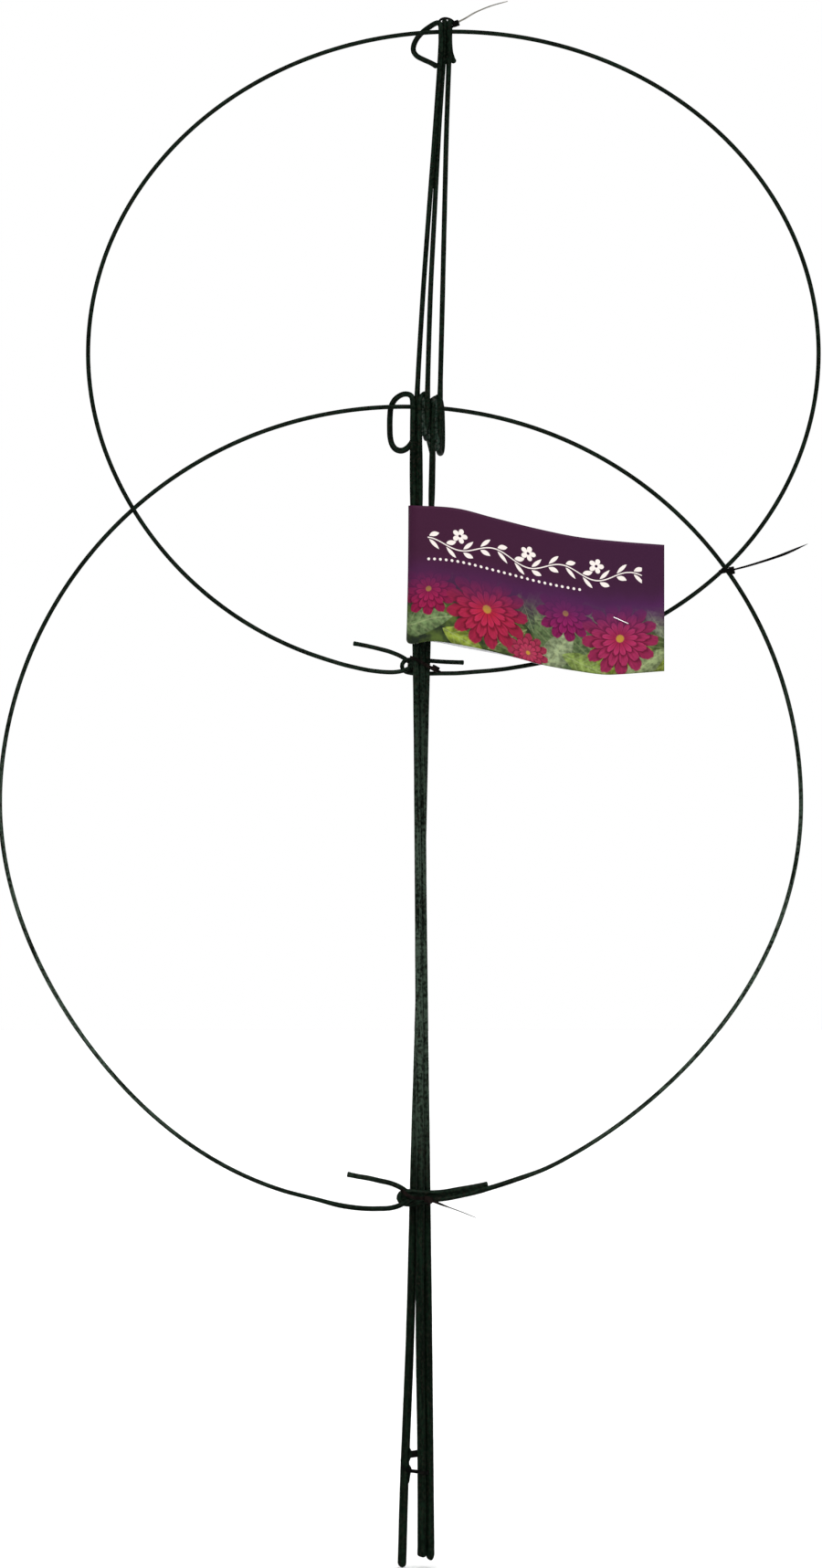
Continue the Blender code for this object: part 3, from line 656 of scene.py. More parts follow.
    def leaf_group(self) -> bpy.types.NodeTree:
        """Return the node group of a pointed leaf with a midrib and side veins.

        Returns:
            The group.
        """
        tree, graph, entry = self.group("pointed_leaf", ("Length", "Width"), ("Tint",))
        x, y = self.offset(graph, entry)
        cosine = graph.math("COSINE", entry.outputs["Turn"])
        sine = graph.math("SINE", entry.outputs["Turn"])
        run, side = graph.turned(x, y, cosine, sine)
        run = graph.math("DIVIDE", run, entry.outputs["Length"])
        side = graph.math("ABSOLUTE", graph.math("DIVIDE", side, entry.outputs["Width"]))
        blade = graph.math("SUBTRACT", 1.0, graph.math("MULTIPLY", run, run))
        blade = graph.math("MULTIPLY", blade, graph.math("MULTIPLY_ADD", run, -0.3, 1.0))
        mask = graph.fade(graph.math("SUBTRACT", blade, side), 0.0, 0.07)
        ripple = graph.math("SINE", graph.math("MULTIPLY_ADD", run, 20.0, graph.math("MULTIPLY", side, -7.0)))
        vein = graph.fade(ripple, 0.5, 1.0, 0.0, 0.16)
        rib = graph.fade(side, 0.02, 0.09, 0.35, 0.0)
        light = graph.fade(entry.outputs["Grain"], 0.3, 0.7, 0.45, 1.15)
        light = graph.math("MULTIPLY", light, graph.fade(side, 0.0, 1.0, 1.1, 0.65))
        lit = graph.shade(entry.outputs["Tint"], graph.grey(light))
        colour = graph.mix(graph.math("MAXIMUM", vein, rib), lit, (0.50, 0.58, 0.28))
        graph.node("NodeGroupOutput", {"Colour": colour, "Mask": mask})
        return tree

    def band(self, graph: Graph, where: Socket, across: Socket, up: Socket, under: Socket) -> Socket:
        """Return the print with its plum band fading in above the blossoms.

        Args:
            graph: The material's graph.
            where: The place on the card, in millimetres.
            across: Its distance from the fold.
            up: Its height.
            under: The colour so far.

        Returns:
            The colour with the band on it.
        """
        drift = graph.math("MULTIPLY_ADD", graph.cloud(where, 0.05, 2.0), 10.0, up)
        plum = graph.mix(graph.fade(drift, 40.0, 62.0, 1.0, 0.0), self.plum, self.violet)
        warm = graph.fade(across, 0.0, 150.0, 0.35, 0.0)
        plum = graph.mix(warm, plum, (0.078, 0.016, 0.036))
        return graph.mix(graph.fade(drift, 24.0, 50.0), under, plum)

    def sprig(self, graph: Graph, across: Socket, up: Socket, under: Socket) -> Socket:
        """Return the print with a cream sprig along the band and a row of beads below it.

        Args:
            graph: The material's graph.
            across: The distance from the fold, in millimetres.
            up: The height on the card, in millimetres.
            under: The colour so far.

        Returns:
            The colour with sprig and beads on it.
        """
        swing = graph.math("SINE", graph.math("MULTIPLY", across, math.tau / self.repeat))
        line = graph.math("MULTIPLY_ADD", swing, self.sprig_swing, self.sprig_height)
        height = graph.math("SUBTRACT", up, line)
        stem = graph.fade(graph.math("ABSOLUTE", height), 0.28, 0.42, 1.0, 0.0)
        cell = graph.math("SUBTRACT", graph.math("MODULO", across, self.repeat / 4), self.repeat / 8)
        upper = self.lens(graph, cell, graph.math("SUBTRACT", height, 3.0), 34.0, 3.6, 1.35)
        lower = self.lens(graph, cell, graph.math("ADD", height, 3.0), -34.0, 3.6, 1.35)
        row = graph.math("SUBTRACT", graph.math("MODULO", across, self.repeat), 0.75 * self.repeat)
        flower = self.daisy(graph, row, graph.math("SUBTRACT", up, 65.5), 4.6)
        start = graph.fade(across, self.sprig_start, self.sprig_start + 0.4)
        stop = graph.fade(across, self.sprig_end - 0.4, self.sprig_end, 1.0, 0.0)
        reach = graph.math("MULTIPLY", start, stop)
        leaves = graph.math("MAXIMUM", upper, lower)
        spray = graph.math("MULTIPLY", graph.math("MAXIMUM", stem, leaves), reach)
        bead = graph.math("SUBTRACT", graph.math("MODULO", across, self.bead_pitch), self.bead_pitch / 2)
        lift = graph.math("SUBTRACT", up, self.bead_height)
        dot = graph.math("ADD", graph.math("MULTIPLY", bead, bead), graph.math("MULTIPLY", lift, lift))
        first = graph.fade(across, self.sprig_start, self.sprig_start + 0.1)
        dots = graph.math("MULTIPLY", graph.fade(dot, 0.55, 0.8, 1.0, 0.0), first)
        dots = graph.math("MULTIPLY", dots, graph.fade(across, self.bead_end, self.bead_end + 0.1, 1.0, 0.0))
        drawn = graph.math("MAXIMUM", spray, dots)
        cover = graph.math("MAXIMUM", drawn, graph.math("MULTIPLY", flower, reach))
        return graph.mix(cover, under, self.cream)

    def lens(self, graph: Graph, x: Socket, y: Socket, turn: float, length: float, width: float) -> Socket:
        """Return the mask of a small pointed leaf about a centre, turned by degrees.

        Args:
            graph: The material's graph.
            x: The place across from the centre.
            y: The place above it.
            turn: The leaf's turn in degrees.
            length: Its half length.
            width: Its half width.

        Returns:
            The mask.
        """
        run, side = graph.turned(x, y, math.cos(math.radians(turn)), math.sin(math.radians(turn)))
        run = graph.math("DIVIDE", run, length)
        side = graph.math("ABSOLUTE", graph.math("DIVIDE", side, width))
        blade = graph.math("SUBTRACT", 1.0, graph.math("MULTIPLY", run, run))
        return graph.fade(graph.math("SUBTRACT", blade, side), 0.0, 0.12)

    def daisy(self, graph: Graph, x: Socket, y: Socket, size: float) -> Socket:
        """Return the mask of a small five-petalled flower about a centre.

        Args:
            graph: The material's graph.
            x: The place across from the centre.
            y: The place above it.
            size: The flower's radius.

        Returns:
            The mask.
        """
        reach = graph.distance(x, y)
        half_turns = graph.math("MULTIPLY", graph.math("ARCTAN2", y, x), 2.5)
        wave = graph.math("ABSOLUTE", graph.math("COSINE", half_turns))
        rim = graph.math("MULTIPLY_ADD", graph.math("POWER", wave, 0.6), size * 0.65, size * 0.35)
        petals = graph.fade(graph.math("SUBTRACT", rim, reach), 0.0, 0.2)
        return graph.math("MULTIPLY", petals, graph.fade(reach, size * 0.16, size * 0.22))


# Wires


@dataclass(frozen=True)
class WireEnd:
    """How the coat closes over a wire's end.

    length is the run over which it closes, power its bluntness (2 is round) and lean the sideways
    shift of its very tip, all sizes in metres. swell is the share by which the coat is fatter
    just before it closes, over the run of the swell.
    """

    length: float
    power: float = 2.0
    lean: Triple = (0.0, 0.0, 0.0)
    swell: float = 0.0
    swell_run: float = 4.0 * MM


@dataclass(frozen=True)
class CoatWeb:
    """Coat that has run together between two strands, as a flat lens along rows.

    A row is a centre, half the way across as a vector, and half the thickness, all in millimetres.
    A web with the flag set gets a finish that is paler and more specked than the coat round the wire.
    """

    rows: tuple[tuple[Triple, Triple, float], ...]
    paler: bool = True
    sides: int = 14
    uneven_share: float = 0.22
    coarse: float = 900.0
    fine: float = 2300.0

    def stations(self) -> list[tuple[Vector, Vector, float]]:
        """Return the rows with a smooth run through them, in metres."""
        knots = [Vector((*centre, *half, thick)) * MM for centre, half, thick in self.rows]
        return [(run.xyz, Vector(run[3:6]), run[6]) for run in smooth(knots, 8)]

    def add(self, bm: bmesh.types.BMesh, slot: tuple[float, float]) -> None:
        """Add the web to a wire's mesh.

        Args:
            bm: The mesh to add to.
            slot: Where its part of the bake map starts, and how wide it is.
        """
        wire_map = bm.loops.layers.uv["Wire"]
        bake_map = bm.loops.layers.uv["OFBake"]
        stations = self.stations()
        rings = []
        for index, (centre, half, thick) in enumerate(stations):
            before = stations[max(index - 1, 0)][0]
            after = stations[min(index + 1, len(stations) - 1)][0]
            out = (after - before).cross(half).normalized()
            ring = []
            for number in range(self.sides):
                turn = math.tau * number / self.sides
                place = centre + half * math.cos(turn) + out * (thick * math.sin(turn))
                uneven = noise.noise(place * self.coarse) + 0.6 * noise.noise(place * self.fine)
                ring.append(bm.verts.new(place + out * (self.uneven_share * thick * uneven)))
            rings.append(ring)
        for index, (first, second) in enumerate(zip(rings, rings[1:])):
            for side in range(self.sides):
                following = (side + 1) % self.sides
                face = bm.faces.new((first[side], first[following], second[following], second[side]))
                face.smooth = True
                face.material_index = int(self.paler)
                corners = ((side, 0), (side + 1, 0), (side + 1, 1), (side, 1))
                for loop, (turn, ahead) in zip(face.loops, corners):
                    along = (index + ahead) / (len(rings) - 1)
                    loop[wire_map].uv = (turn / self.sides, 0.02 * along)
                    up = 0.968 + 0.028 * turn / self.sides
                    loop[bake_map].uv = (slot[0] + slot[1] * (0.02 + 0.96 * along), up)
        for ring, outward in ((rings[0], -1), (rings[-1], 1)):
            face = bm.faces.new(ring[::outward])
            for loop in face.loops:
                loop[bake_map].uv = (slot[0] + slot[1] * (0.01 if outward < 0 else 0.99), 0.98)


@dataclass
class CoatedWire:
    """Builds a coated wire as one closed mesh along stations of x, y, z and radius."""

    piece: str
    node: str
    body: Body
    finish: Finish
    slot: str
    sides: int = 18
    step: float = 1.5 * MM
    lumps: float = 0.022
    coarse: float = 85.0
    fine: float = 310.0
    map_rows: int = 12
    tip_steps: int = 9
    # Finish of the flagged webs: a paler green with more specks.
    paler_finish: Finish = DippedCoat("paler_coat", light=(0.010, 0.019, 0.014), dust=(0.034, 0.034, 0.030),
                                     dust_share=0.6)

    def build(self, path: list[Vector], start: WireEnd, end: WireEnd,
              webs: tuple[CoatWeb, ...] = ()) -> bpy.types.Object:
        """Build the wire, dress it and set it on its body.

        Args:
            path: The wire's stations.
            start: How its first end closes.
            end: How its last end closes.
            webs: Where its coat has run together; a web with the flag set gets the paler finish.

        Returns:
            The wire.
        """
        stations = self.closed_end(even(path, self.step), end)
        stations.reverse()
        stations = self.closed_end(stations, start)
        stations.reverse()
        mesh = bpy.data.meshes.new(self.piece)
        bm = bmesh.new()
        wire_map = bm.loops.layers.uv.new("Wire")
        bake_map = bm.loops.layers.uv.new("OFBake")
        rings = self.rings(bm, stations)
        runs = [0.0]
        for first, second in zip(stations, stations[1:]):
            runs.append(runs[-1] + (second.xyz - first.xyz).length)
        per_row = math.ceil((len(stations) - 1) / self.map_rows)
        for index, (first, second) in enumerate(zip(rings, rings[1:])):
            row, column = divmod(index, per_row)
            for side in range(self.sides):
                following = (side + 1) % self.sides
                face = bm.faces.new((first[side], first[following], second[following], second[side]))
                face.smooth = True
                corners = ((side, 0), (side + 1, 0), (side + 1, 1), (side, 1))
                for loop, (turn, ahead) in zip(face.loops, corners):
                    round_wire = turn / self.sides
                    loop[wire_map].uv = (round_wire, runs[index + ahead])
                    up = (row + 0.03 + 0.94 * round_wire) / self.map_rows * 0.96
                    loop[bake_map].uv = ((column + ahead) / per_row * 0.98 + 0.01, up)
        for ring, outward in ((rings[0], -1), (rings[-1], 1)):
            face = bm.faces.new(ring[::outward])
            face.smooth = True
            for loop in face.loops:
                loop[wire_map].uv = (0.5, 0.0 if outward < 0 else runs[-1])
                loop[bake_map].uv = (0.995, 0.5)
        for index, web in enumerate(webs):
            web.add(bm, (index / len(webs), 1 / len(webs)))
        bmesh.ops.recalc_face_normals(bm, faces=bm.faces)
        bm.to_mesh(mesh)
        bm.free()
        wire = bpy.data.objects.new(self.piece, mesh)
        bpy.context.scene.collection.objects.link(wire)
        mesh.materials.append(self.finish.material())
        if webs:
            mesh.materials.append(self.paler_finish.material())
        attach(wire, self.body.value)
        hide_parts(self.node)
        LOG.info("%s: %d faces, %.0f mm of wire", self.piece, len(mesh.polygons), runs[-1] / MM)
        return wire

    def closed_end(self, stations: list[Vector], end: WireEnd) -> list[Vector]:
        """Return the stations with the last of them drawn in to a closed tip.

        Args:
            stations: The wire's stations, the open end last.
            end: How it closes.

        Returns:
            The stations with those of the tip.
        """
        tip = stations[-1]
        kept = []
        for station in stations:
            away = (station.xyz - tip.xyz).length
            if away > end.length:
                share = max(0.0, 1 - (away - end.length) / end.swell_run)
                kept.append(Vector((*station.xyz, station[3] * (1 + end.swell * share * share))))
        heading = (tip.xyz - kept[-1].xyz).normalized()
        root = tip.xyz - heading * end.length
        for index in range(self.tip_steps + 1):
            share = math.sin(math.radians(88 * index / self.tip_steps))
            radius = tip[3] * (1 + end.swell) * max(1 - share ** end.power, 0.0) ** (1 / end.power)
            place = root + heading * (end.length * share) + Vector(end.lean) * share ** 2
            kept.append(Vector((*place, max(radius, 0.02 * MM))))
        return kept

    def rings(self, bm: bmesh.types.BMesh, stations: list[Vector]) -> list[list[bmesh.types.BMVert]]:
        """Return a ring of vertices round each station, turned with the wire and a little uneven.

        Args:
            bm: The mesh to add to.
            stations: The wire's stations.

        Returns:
            The rings, in the order of the stations.
        """
        rings = []
        normal = None
        for index, station in enumerate(stations):
            before = stations[max(index - 1, 0)].xyz
            after = stations[min(index + 1, len(stations) - 1)].xyz
            tangent = (after - before).normalized()
            guide = normal or Vector((0, 1, 0))
            normal = (guide - tangent * guide.dot(tangent)).normalized()
            side = tangent.cross(normal)
            ring = []
            for number in range(self.sides):
                turn = math.tau * number / self.sides
                spoke = normal * math.cos(turn) + side * math.sin(turn)
                place = station.xyz + spoke * station[3]
                uneven = noise.noise(place * self.coarse) + 0.5 * noise.noise(place * self.fine)
                ring.append(bm.verts.new(place + spoke * (station[3] * self.lumps * uneven)))
            rings.append(ring)
        return rings


@dataclass
class Hoop:
    """One open wire hoop that hangs from its top, its two ends hooked into each other.

    bends holds an angle, a half width in degrees and a depth for each place where the ring isn't
    round. lean gives the ring's depth by height at its right and at its left. Hook places are in
    millimetres from the hook point.
    """

    wire: CoatedWire
    top: Triple
    half_width: float
    half_height: float
    bends: tuple[Triple, ...]
    arc: tuple[float, float]
    lean: tuple[Table, Table]
    hook_depth: float
    right_hook: tuple[Triple, ...]
    left_hook: tuple[Triple, ...]
    radius: float
    hook_radius: float
    webs: tuple[CoatWeb, ...] = ()
    cut: WireEnd = WireEnd(0.8 * MM, 2.8, swell=0.09, swell_run=2.5 * MM)
    ring_steps: int = 60

    def hook_point(self) -> Vector:
        """Return the place that the hooks are measured from."""
        return Vector((0, self.hook_depth, self.top[2] - 2 * self.half_height))

    def ring_point(self, angle: float) -> Vector:
        """Return the point of the ring at an angle in degrees, with its bends and its lean.

        Args:
            angle: The angle from the ring's right side, counter-clockwise.

        Returns:
            The point.
        """
        turn = math.radians(angle)
        centre = Vector(self.top) - Vector((0, 0, self.half_height))
        spoke = Vector((self.half_width * math.cos(turn), 0, self.half_height * math.sin(turn)))
        offset = sum(depth * bump(angle, at, width) for at, width, depth in self.bends)
        point = centre + spoke * (1 + offset / spoke.length)
        height = (point.z - self.hook_point().z) / (2 * self.half_height)
        share = 0.5 + 0.5 * math.cos(math.radians(max(0, min(180, angle))))
        right, left = self.lean
        point.y = interpolate(right, height) * share + interpolate(left, height) * (1 - share)
        return point

    def build(self) -> bpy.types.Object:
        """Build the hoop from the end of its right hook round to the end of its left one.

        Returns:
            The hoop.
        """
        def hook(places: tuple[Triple, ...]) -> list[Vector]:
            """Return a hook's stations from the ring to the wire's end."""
            return [Vector((*(self.hook_point() + Vector(place) * MM), self.hook_radius)) for place in places]

        stations = list(reversed(hook(self.right_hook)))
        start, end = self.arc
        for index in range(self.ring_steps + 1):
            point = self.ring_point(start + (end - start) * index / self.ring_steps)
            stations.append(Vector((*point, self.radius)))
        stations += hook(self.left_hook)
        return self.wire.build(smooth(stations), self.cut, self.cut, self.webs)


@dataclass
class Leg:
    """One leg: foot, shank, a coil for the lower hoop, shank, and an eye for the upper hoop.

    Places in the bundle are across and back in radii of the wire there, and a height in millimetres.
    skin gives the radius of the dipped coat by height, both in millimetres.
    """

    wire: CoatedWire
    below: tuple[Triple, ...]
    coil: Triple
    above: tuple[Triple, ...]
    eye: Triple
    eye_drop: float
    eye_tail: tuple[Triple, ...]
    foot: WireEnd
    eye_length: float = 1.0
    coil_rise: float = 0.0
    coil_length: float = 1.0
    webs: tuple[CoatWeb, ...] = ()
    skin: Table = ((0, 2.62), (70, 2.60), (252, 2.50), (400, 1.98), (480, 1.86), (545, 1.86), (553, 1.70),
                   (624, 1.70), (634, 1.94), (654, 1.94), (664, 1.72), (691, 1.68), (700, 1.50), (880, 1.50),
                   (900, 1.60), (930, 1.60))
    radius: float = 1.6 * MM
    foot_radius: float = 2.5 * MM
    coat_full_below: float = 252 * MM
    coat_thickens_below: float = 468 * MM
    coil_bottom: float = 660.0 * MM
    coil_pitch: float = 4.5 * MM
    eye_top: float = 913.8 * MM
    eye_pitch: float = 3.2 * MM
    coil_turn: tuple[Triple, ...] = (
        (0, 4, 0), (0, 16, 0), (0.08, 27.5, 0.06), (0.8, 31.4, 0.25), (2.3, 33.1, 0.43),
        (4.5, 33.6, 0.47), (7.1, 32.4, 0.49), (9.3, 29.8, 0.5), (10.7, 26, 0.51), (11.2, 20, 0.52),
        (11.3, 14, 0.54), (11.1, 8, 0.55), (10.2, 3.5, 0.56), (8.6, 1.0, 0.57), (6.5, 0.1, 0.58),
        (4.3, 1.0, 0.6), (2.2, 3.8, 0.65), (0.7, 9, 0.82), (0.1, 15.5, 0.97), (0, 23, 1), (0, 31, 1),
    )
    eye_turn: tuple[Triple, ...] = (
        (0, -13, 0), (0, -8, 0), (0.05, -4.2, 0.01), (0.5, -2.0, 0.04), (1.6, -1.0, 0.09),
        (3.2, -1.3, 0.14), (5.4, -2.5, 0.2), (9.6, -5.5, 0.3), (13.0, -9.3, 0.38), (14.8, -13.1, 0.45),
        (15.2, -16.3, 0.52), (13.9, -19.3, 0.6), (10.4, -22, 0.7),
    )

    def coat(self, height: float) -> float:
        """Return the radius that places at a height are measured in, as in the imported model."""
        table = ((self.coat_full_below, self.foot_radius), (self.coat_thickens_below, self.radius))
        return interpolate(table, height)

    def bundled(self, place: Triple) -> Vector:
        """Return a place in the bundle in metres."""
        radius = self.coat(place[2] * MM)
        return Vector((place[0] * radius, place[1] * radius, place[2] * MM))

    def turned(self, profile: tuple[Triple, ...], corner: Triple, pitch: float, base: float,
               length: float = 1.0) -> list[Vector]:
        """Lay one turn of wire into space.

        Args:
            profile: Reach in radii, height in millimetres and share of the pitch of each place.
            corner: Where the turn starts, across and back in radii, and its roll in degrees.
            pitch: How far the turn shifts sideways.
            base: The height that the profile is measured from.
            length: By how much the turn is longer or shorter than the profile.

        Returns:
            The places of the turn.
        """
        across, back, roll = corner
        outward = Vector((math.cos(math.radians(roll)), math.sin(math.radians(roll)), 0))
        sideways = Vector((outward.y, -outward.x, 0))
        points = []
        for reach, height, share in profile:
            point = Vector((across * self.radius, back * self.radius, base + height * length * MM))
            points.append(point + outward * (reach * self.radius) + sideways * (share * pitch))
        return points

    def build(self) -> bpy.types.Object:
        """Build the leg from its foot to the end of its eye.

        Returns:
            The leg.
        """
        path = [self.bundled(place) for place in self.below]
        bottom = self.coil_bottom + self.coil_rise * MM
        path += self.turned(self.coil_turn, self.coil, self.coil_pitch, bottom, self.coil_length)
        path += [self.bundled(place) for place in self.above]
        top = self.eye_top - self.eye_drop * MM
        path += self.turned(self.eye_turn + self.eye_tail, self.eye, self.eye_pitch, top, self.eye_length)
        stations = [Vector((*point, interpolate(self.skin, point.z / MM) * MM)) for point in smooth(path)]
        return self.wire.build(stations, self.foot, WireEnd(1.4 * MM, 2.2, swell=0.12), self.webs)


# Cable ties


@dataclass
class CableTie:
    """One cable tie: a toothed strap through a moulded head, with its tail sticking out.

    Its places are in radii of the wire that it binds, from a point on what it binds.
    """

    piece: str
    node: str
    body: Body
    finish: Finish
    anchor: Triple
    radius: float
    axis: Triple
    loop: tuple[Triple, ...]
    tail: tuple[Triple, ...]
    tail_axes: tuple[Triple, Triple]
    tail_widths: Table
    head: Triple
    head_along: Triple
    head_size: Triple
    strap_width: float = 1.9 * MM
    strap_thickness: float = 0.8 * MM
    tooth_pitch: float = 0.84 * MM
    tooth_depth: float = 0.12 * MM
    strap_edge: float = 0.18 * MM
    head_rounding: float = 0.55 * MM
    slot_rim: float = 0.35 * MM
    slot_depth: float = 0.7 * MM
    tail_finish: Finish | None = None

    def places(self, points: tuple[Triple, ...]) -> list[Vector]:
        """Return the even places of a run of the strap, in metres."""
        path = smooth([Vector(self.anchor) + Vector(point) * self.radius for point in points])
        return even(path, self.tooth_pitch / 3)

    def build(self) -> bpy.types.Object:
        """Build strap, tail and head in one piece, dress it and set it on its body.

        Returns:
            The tie.
        """
        mesh = bpy.data.meshes.new(self.piece)
        bm = bmesh.new()
        loop = self.places(self.loop)
        centre = sum(loop, Vector()) / len(loop)
        axis = Vector(self.axis)
        self.add_strap(bm, loop, [axis] * len(loop), [1.0] * len(loop), centre)
        tail = self.places(self.tail)
        shares = [index / (len(tail) - 1) for index in range(len(tail))]
        first, last = (Vector(way).normalized() for way in self.tail_axes)
        axes = [first.lerp(last, share) for share in shares]
        widths = [interpolate(self.tail_widths, share) for share in shares]
        before = len(bm.faces)
        self.add_strap(bm, tail, axes, widths, centre)
        if self.tail_finish:
            for face in list(bm.faces)[before:]:
                face.material_index = 1
        self.add_head(bm)
        bmesh.ops.recalc_face_normals(bm, faces=bm.faces)
        bm.to_mesh(mesh)
        bm.free()
        tie = bpy.data.objects.new(self.piece, mesh)
        bpy.context.scene.collection.objects.link(tie)
        mesh.materials.append(self.finish.material())
        if self.tail_finish:
            mesh.materials.append(self.tail_finish.material())
        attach(tie, self.body.value)
        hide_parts(self.node)
        LOG.info("%s: %d faces", self.piece, len(mesh.polygons))
        return tie

    def add_strap(self, bm: bmesh.types.BMesh, path: list[Vector], axes: list[Vector], widths: list[float],
                  centre: Vector) -> None:
        """Add a run of strap, with saw teeth on one face.

        Args:
            bm: The mesh to add to.
            path: The even places of the run.
            axes: The way that the strap is wide at each place.
            widths: Its width there, as a share of the full one.
            centre: The middle of the loop, which the toothed face turns to.
        """
        rows = []
        for index, point in enumerate(path):
            tangent = (path[min(index + 1, len(path) - 1)] - path[max(index - 1, 0)]).normalized()
            across = (axes[index] - tangent * axes[index].dot(tangent)).normalized()
            out = tangent.cross(across)
            if rows:
                out = out if out.dot(last_out) > 0 else -out
            elif out.dot(centre - point) > 0:
                out = -out
            last_out = out
            half = self.strap_width * widths[index] / 2
            slim = 0.3 + 0.7 * min(1.0, widths[index])
            thick = self.strap_thickness * slim / 2
            edge = min(self.strap_edge * slim, half * 0.6)
            tooth = self.tooth_depth * slim * ((index % 3) - 1)
            profile = (
                (-half + edge, thick), (half - edge, thick), (half, thick - edge), (half, -thick + edge),
                (half - edge, -thick), (half * 0.72, -thick - tooth), (-half * 0.72, -thick - tooth),
                (-half + edge, -thick), (-half, -thick + edge), (-half, thick - edge),
            )
            rows.append([bm.verts.new(point + across * x + out * y) for x, y in profile])
        for first, second in zip(rows, rows[1:]):
            for number in range(len(first)):
                following = (number + 1) % len(first)
                bm.faces.new((first[number], first[following], second[following], second[number]))
        bm.faces.new(rows[0])
        bm.faces.new(rows[-1])

    def add_head(self, bm: bmesh.types.BMesh) -> None:
        """Add the moulded head, with rounded edges and a recessed slot at both ends.

        Args:
            bm: The mesh to add to.
        """
        along = Vector(self.head_along).normalized()
        axis = Vector(self.axis)
        across = (axis - along * axis.dot(along)).normalized()
        turn = Matrix((along, across, along.cross(across))).transposed().to_4x4()
        centre = Vector(self.anchor) + Vector(self.head) * self.radius
        size = [length * self.strap_width for length in self.head_size]
        shape = Matrix.Translation(centre) @ turn @ Matrix.Diagonal((*size, 1))
        made = bmesh.ops.create_cube(bm, size=1, matrix=shape)
        edges = list({edge for vert in made["verts"] for edge in vert.link_edges})
        bevelled = bmesh.ops.bevel(bm, geom=edges, offset=self.head_rounding, segments=3, profile=0.6,
                                   affect="EDGES")
        faces = {face for vert in bevelled["verts"] for face in vert.link_faces if vert.is_valid}
        across_end = [face for face in faces if abs(face.normal.dot(along)) > 0.999]
        ends = [face for face in across_end if face.calc_area() > 2 * MM * MM]
        for face in ends:
            inward = -face.normal.copy()
            bmesh.ops.inset_individual(bm, faces=[face], thickness=self.slot_rim)
            for vert in face.verts:
                vert.co += inward * self.slot_depth


# Folded card and staple


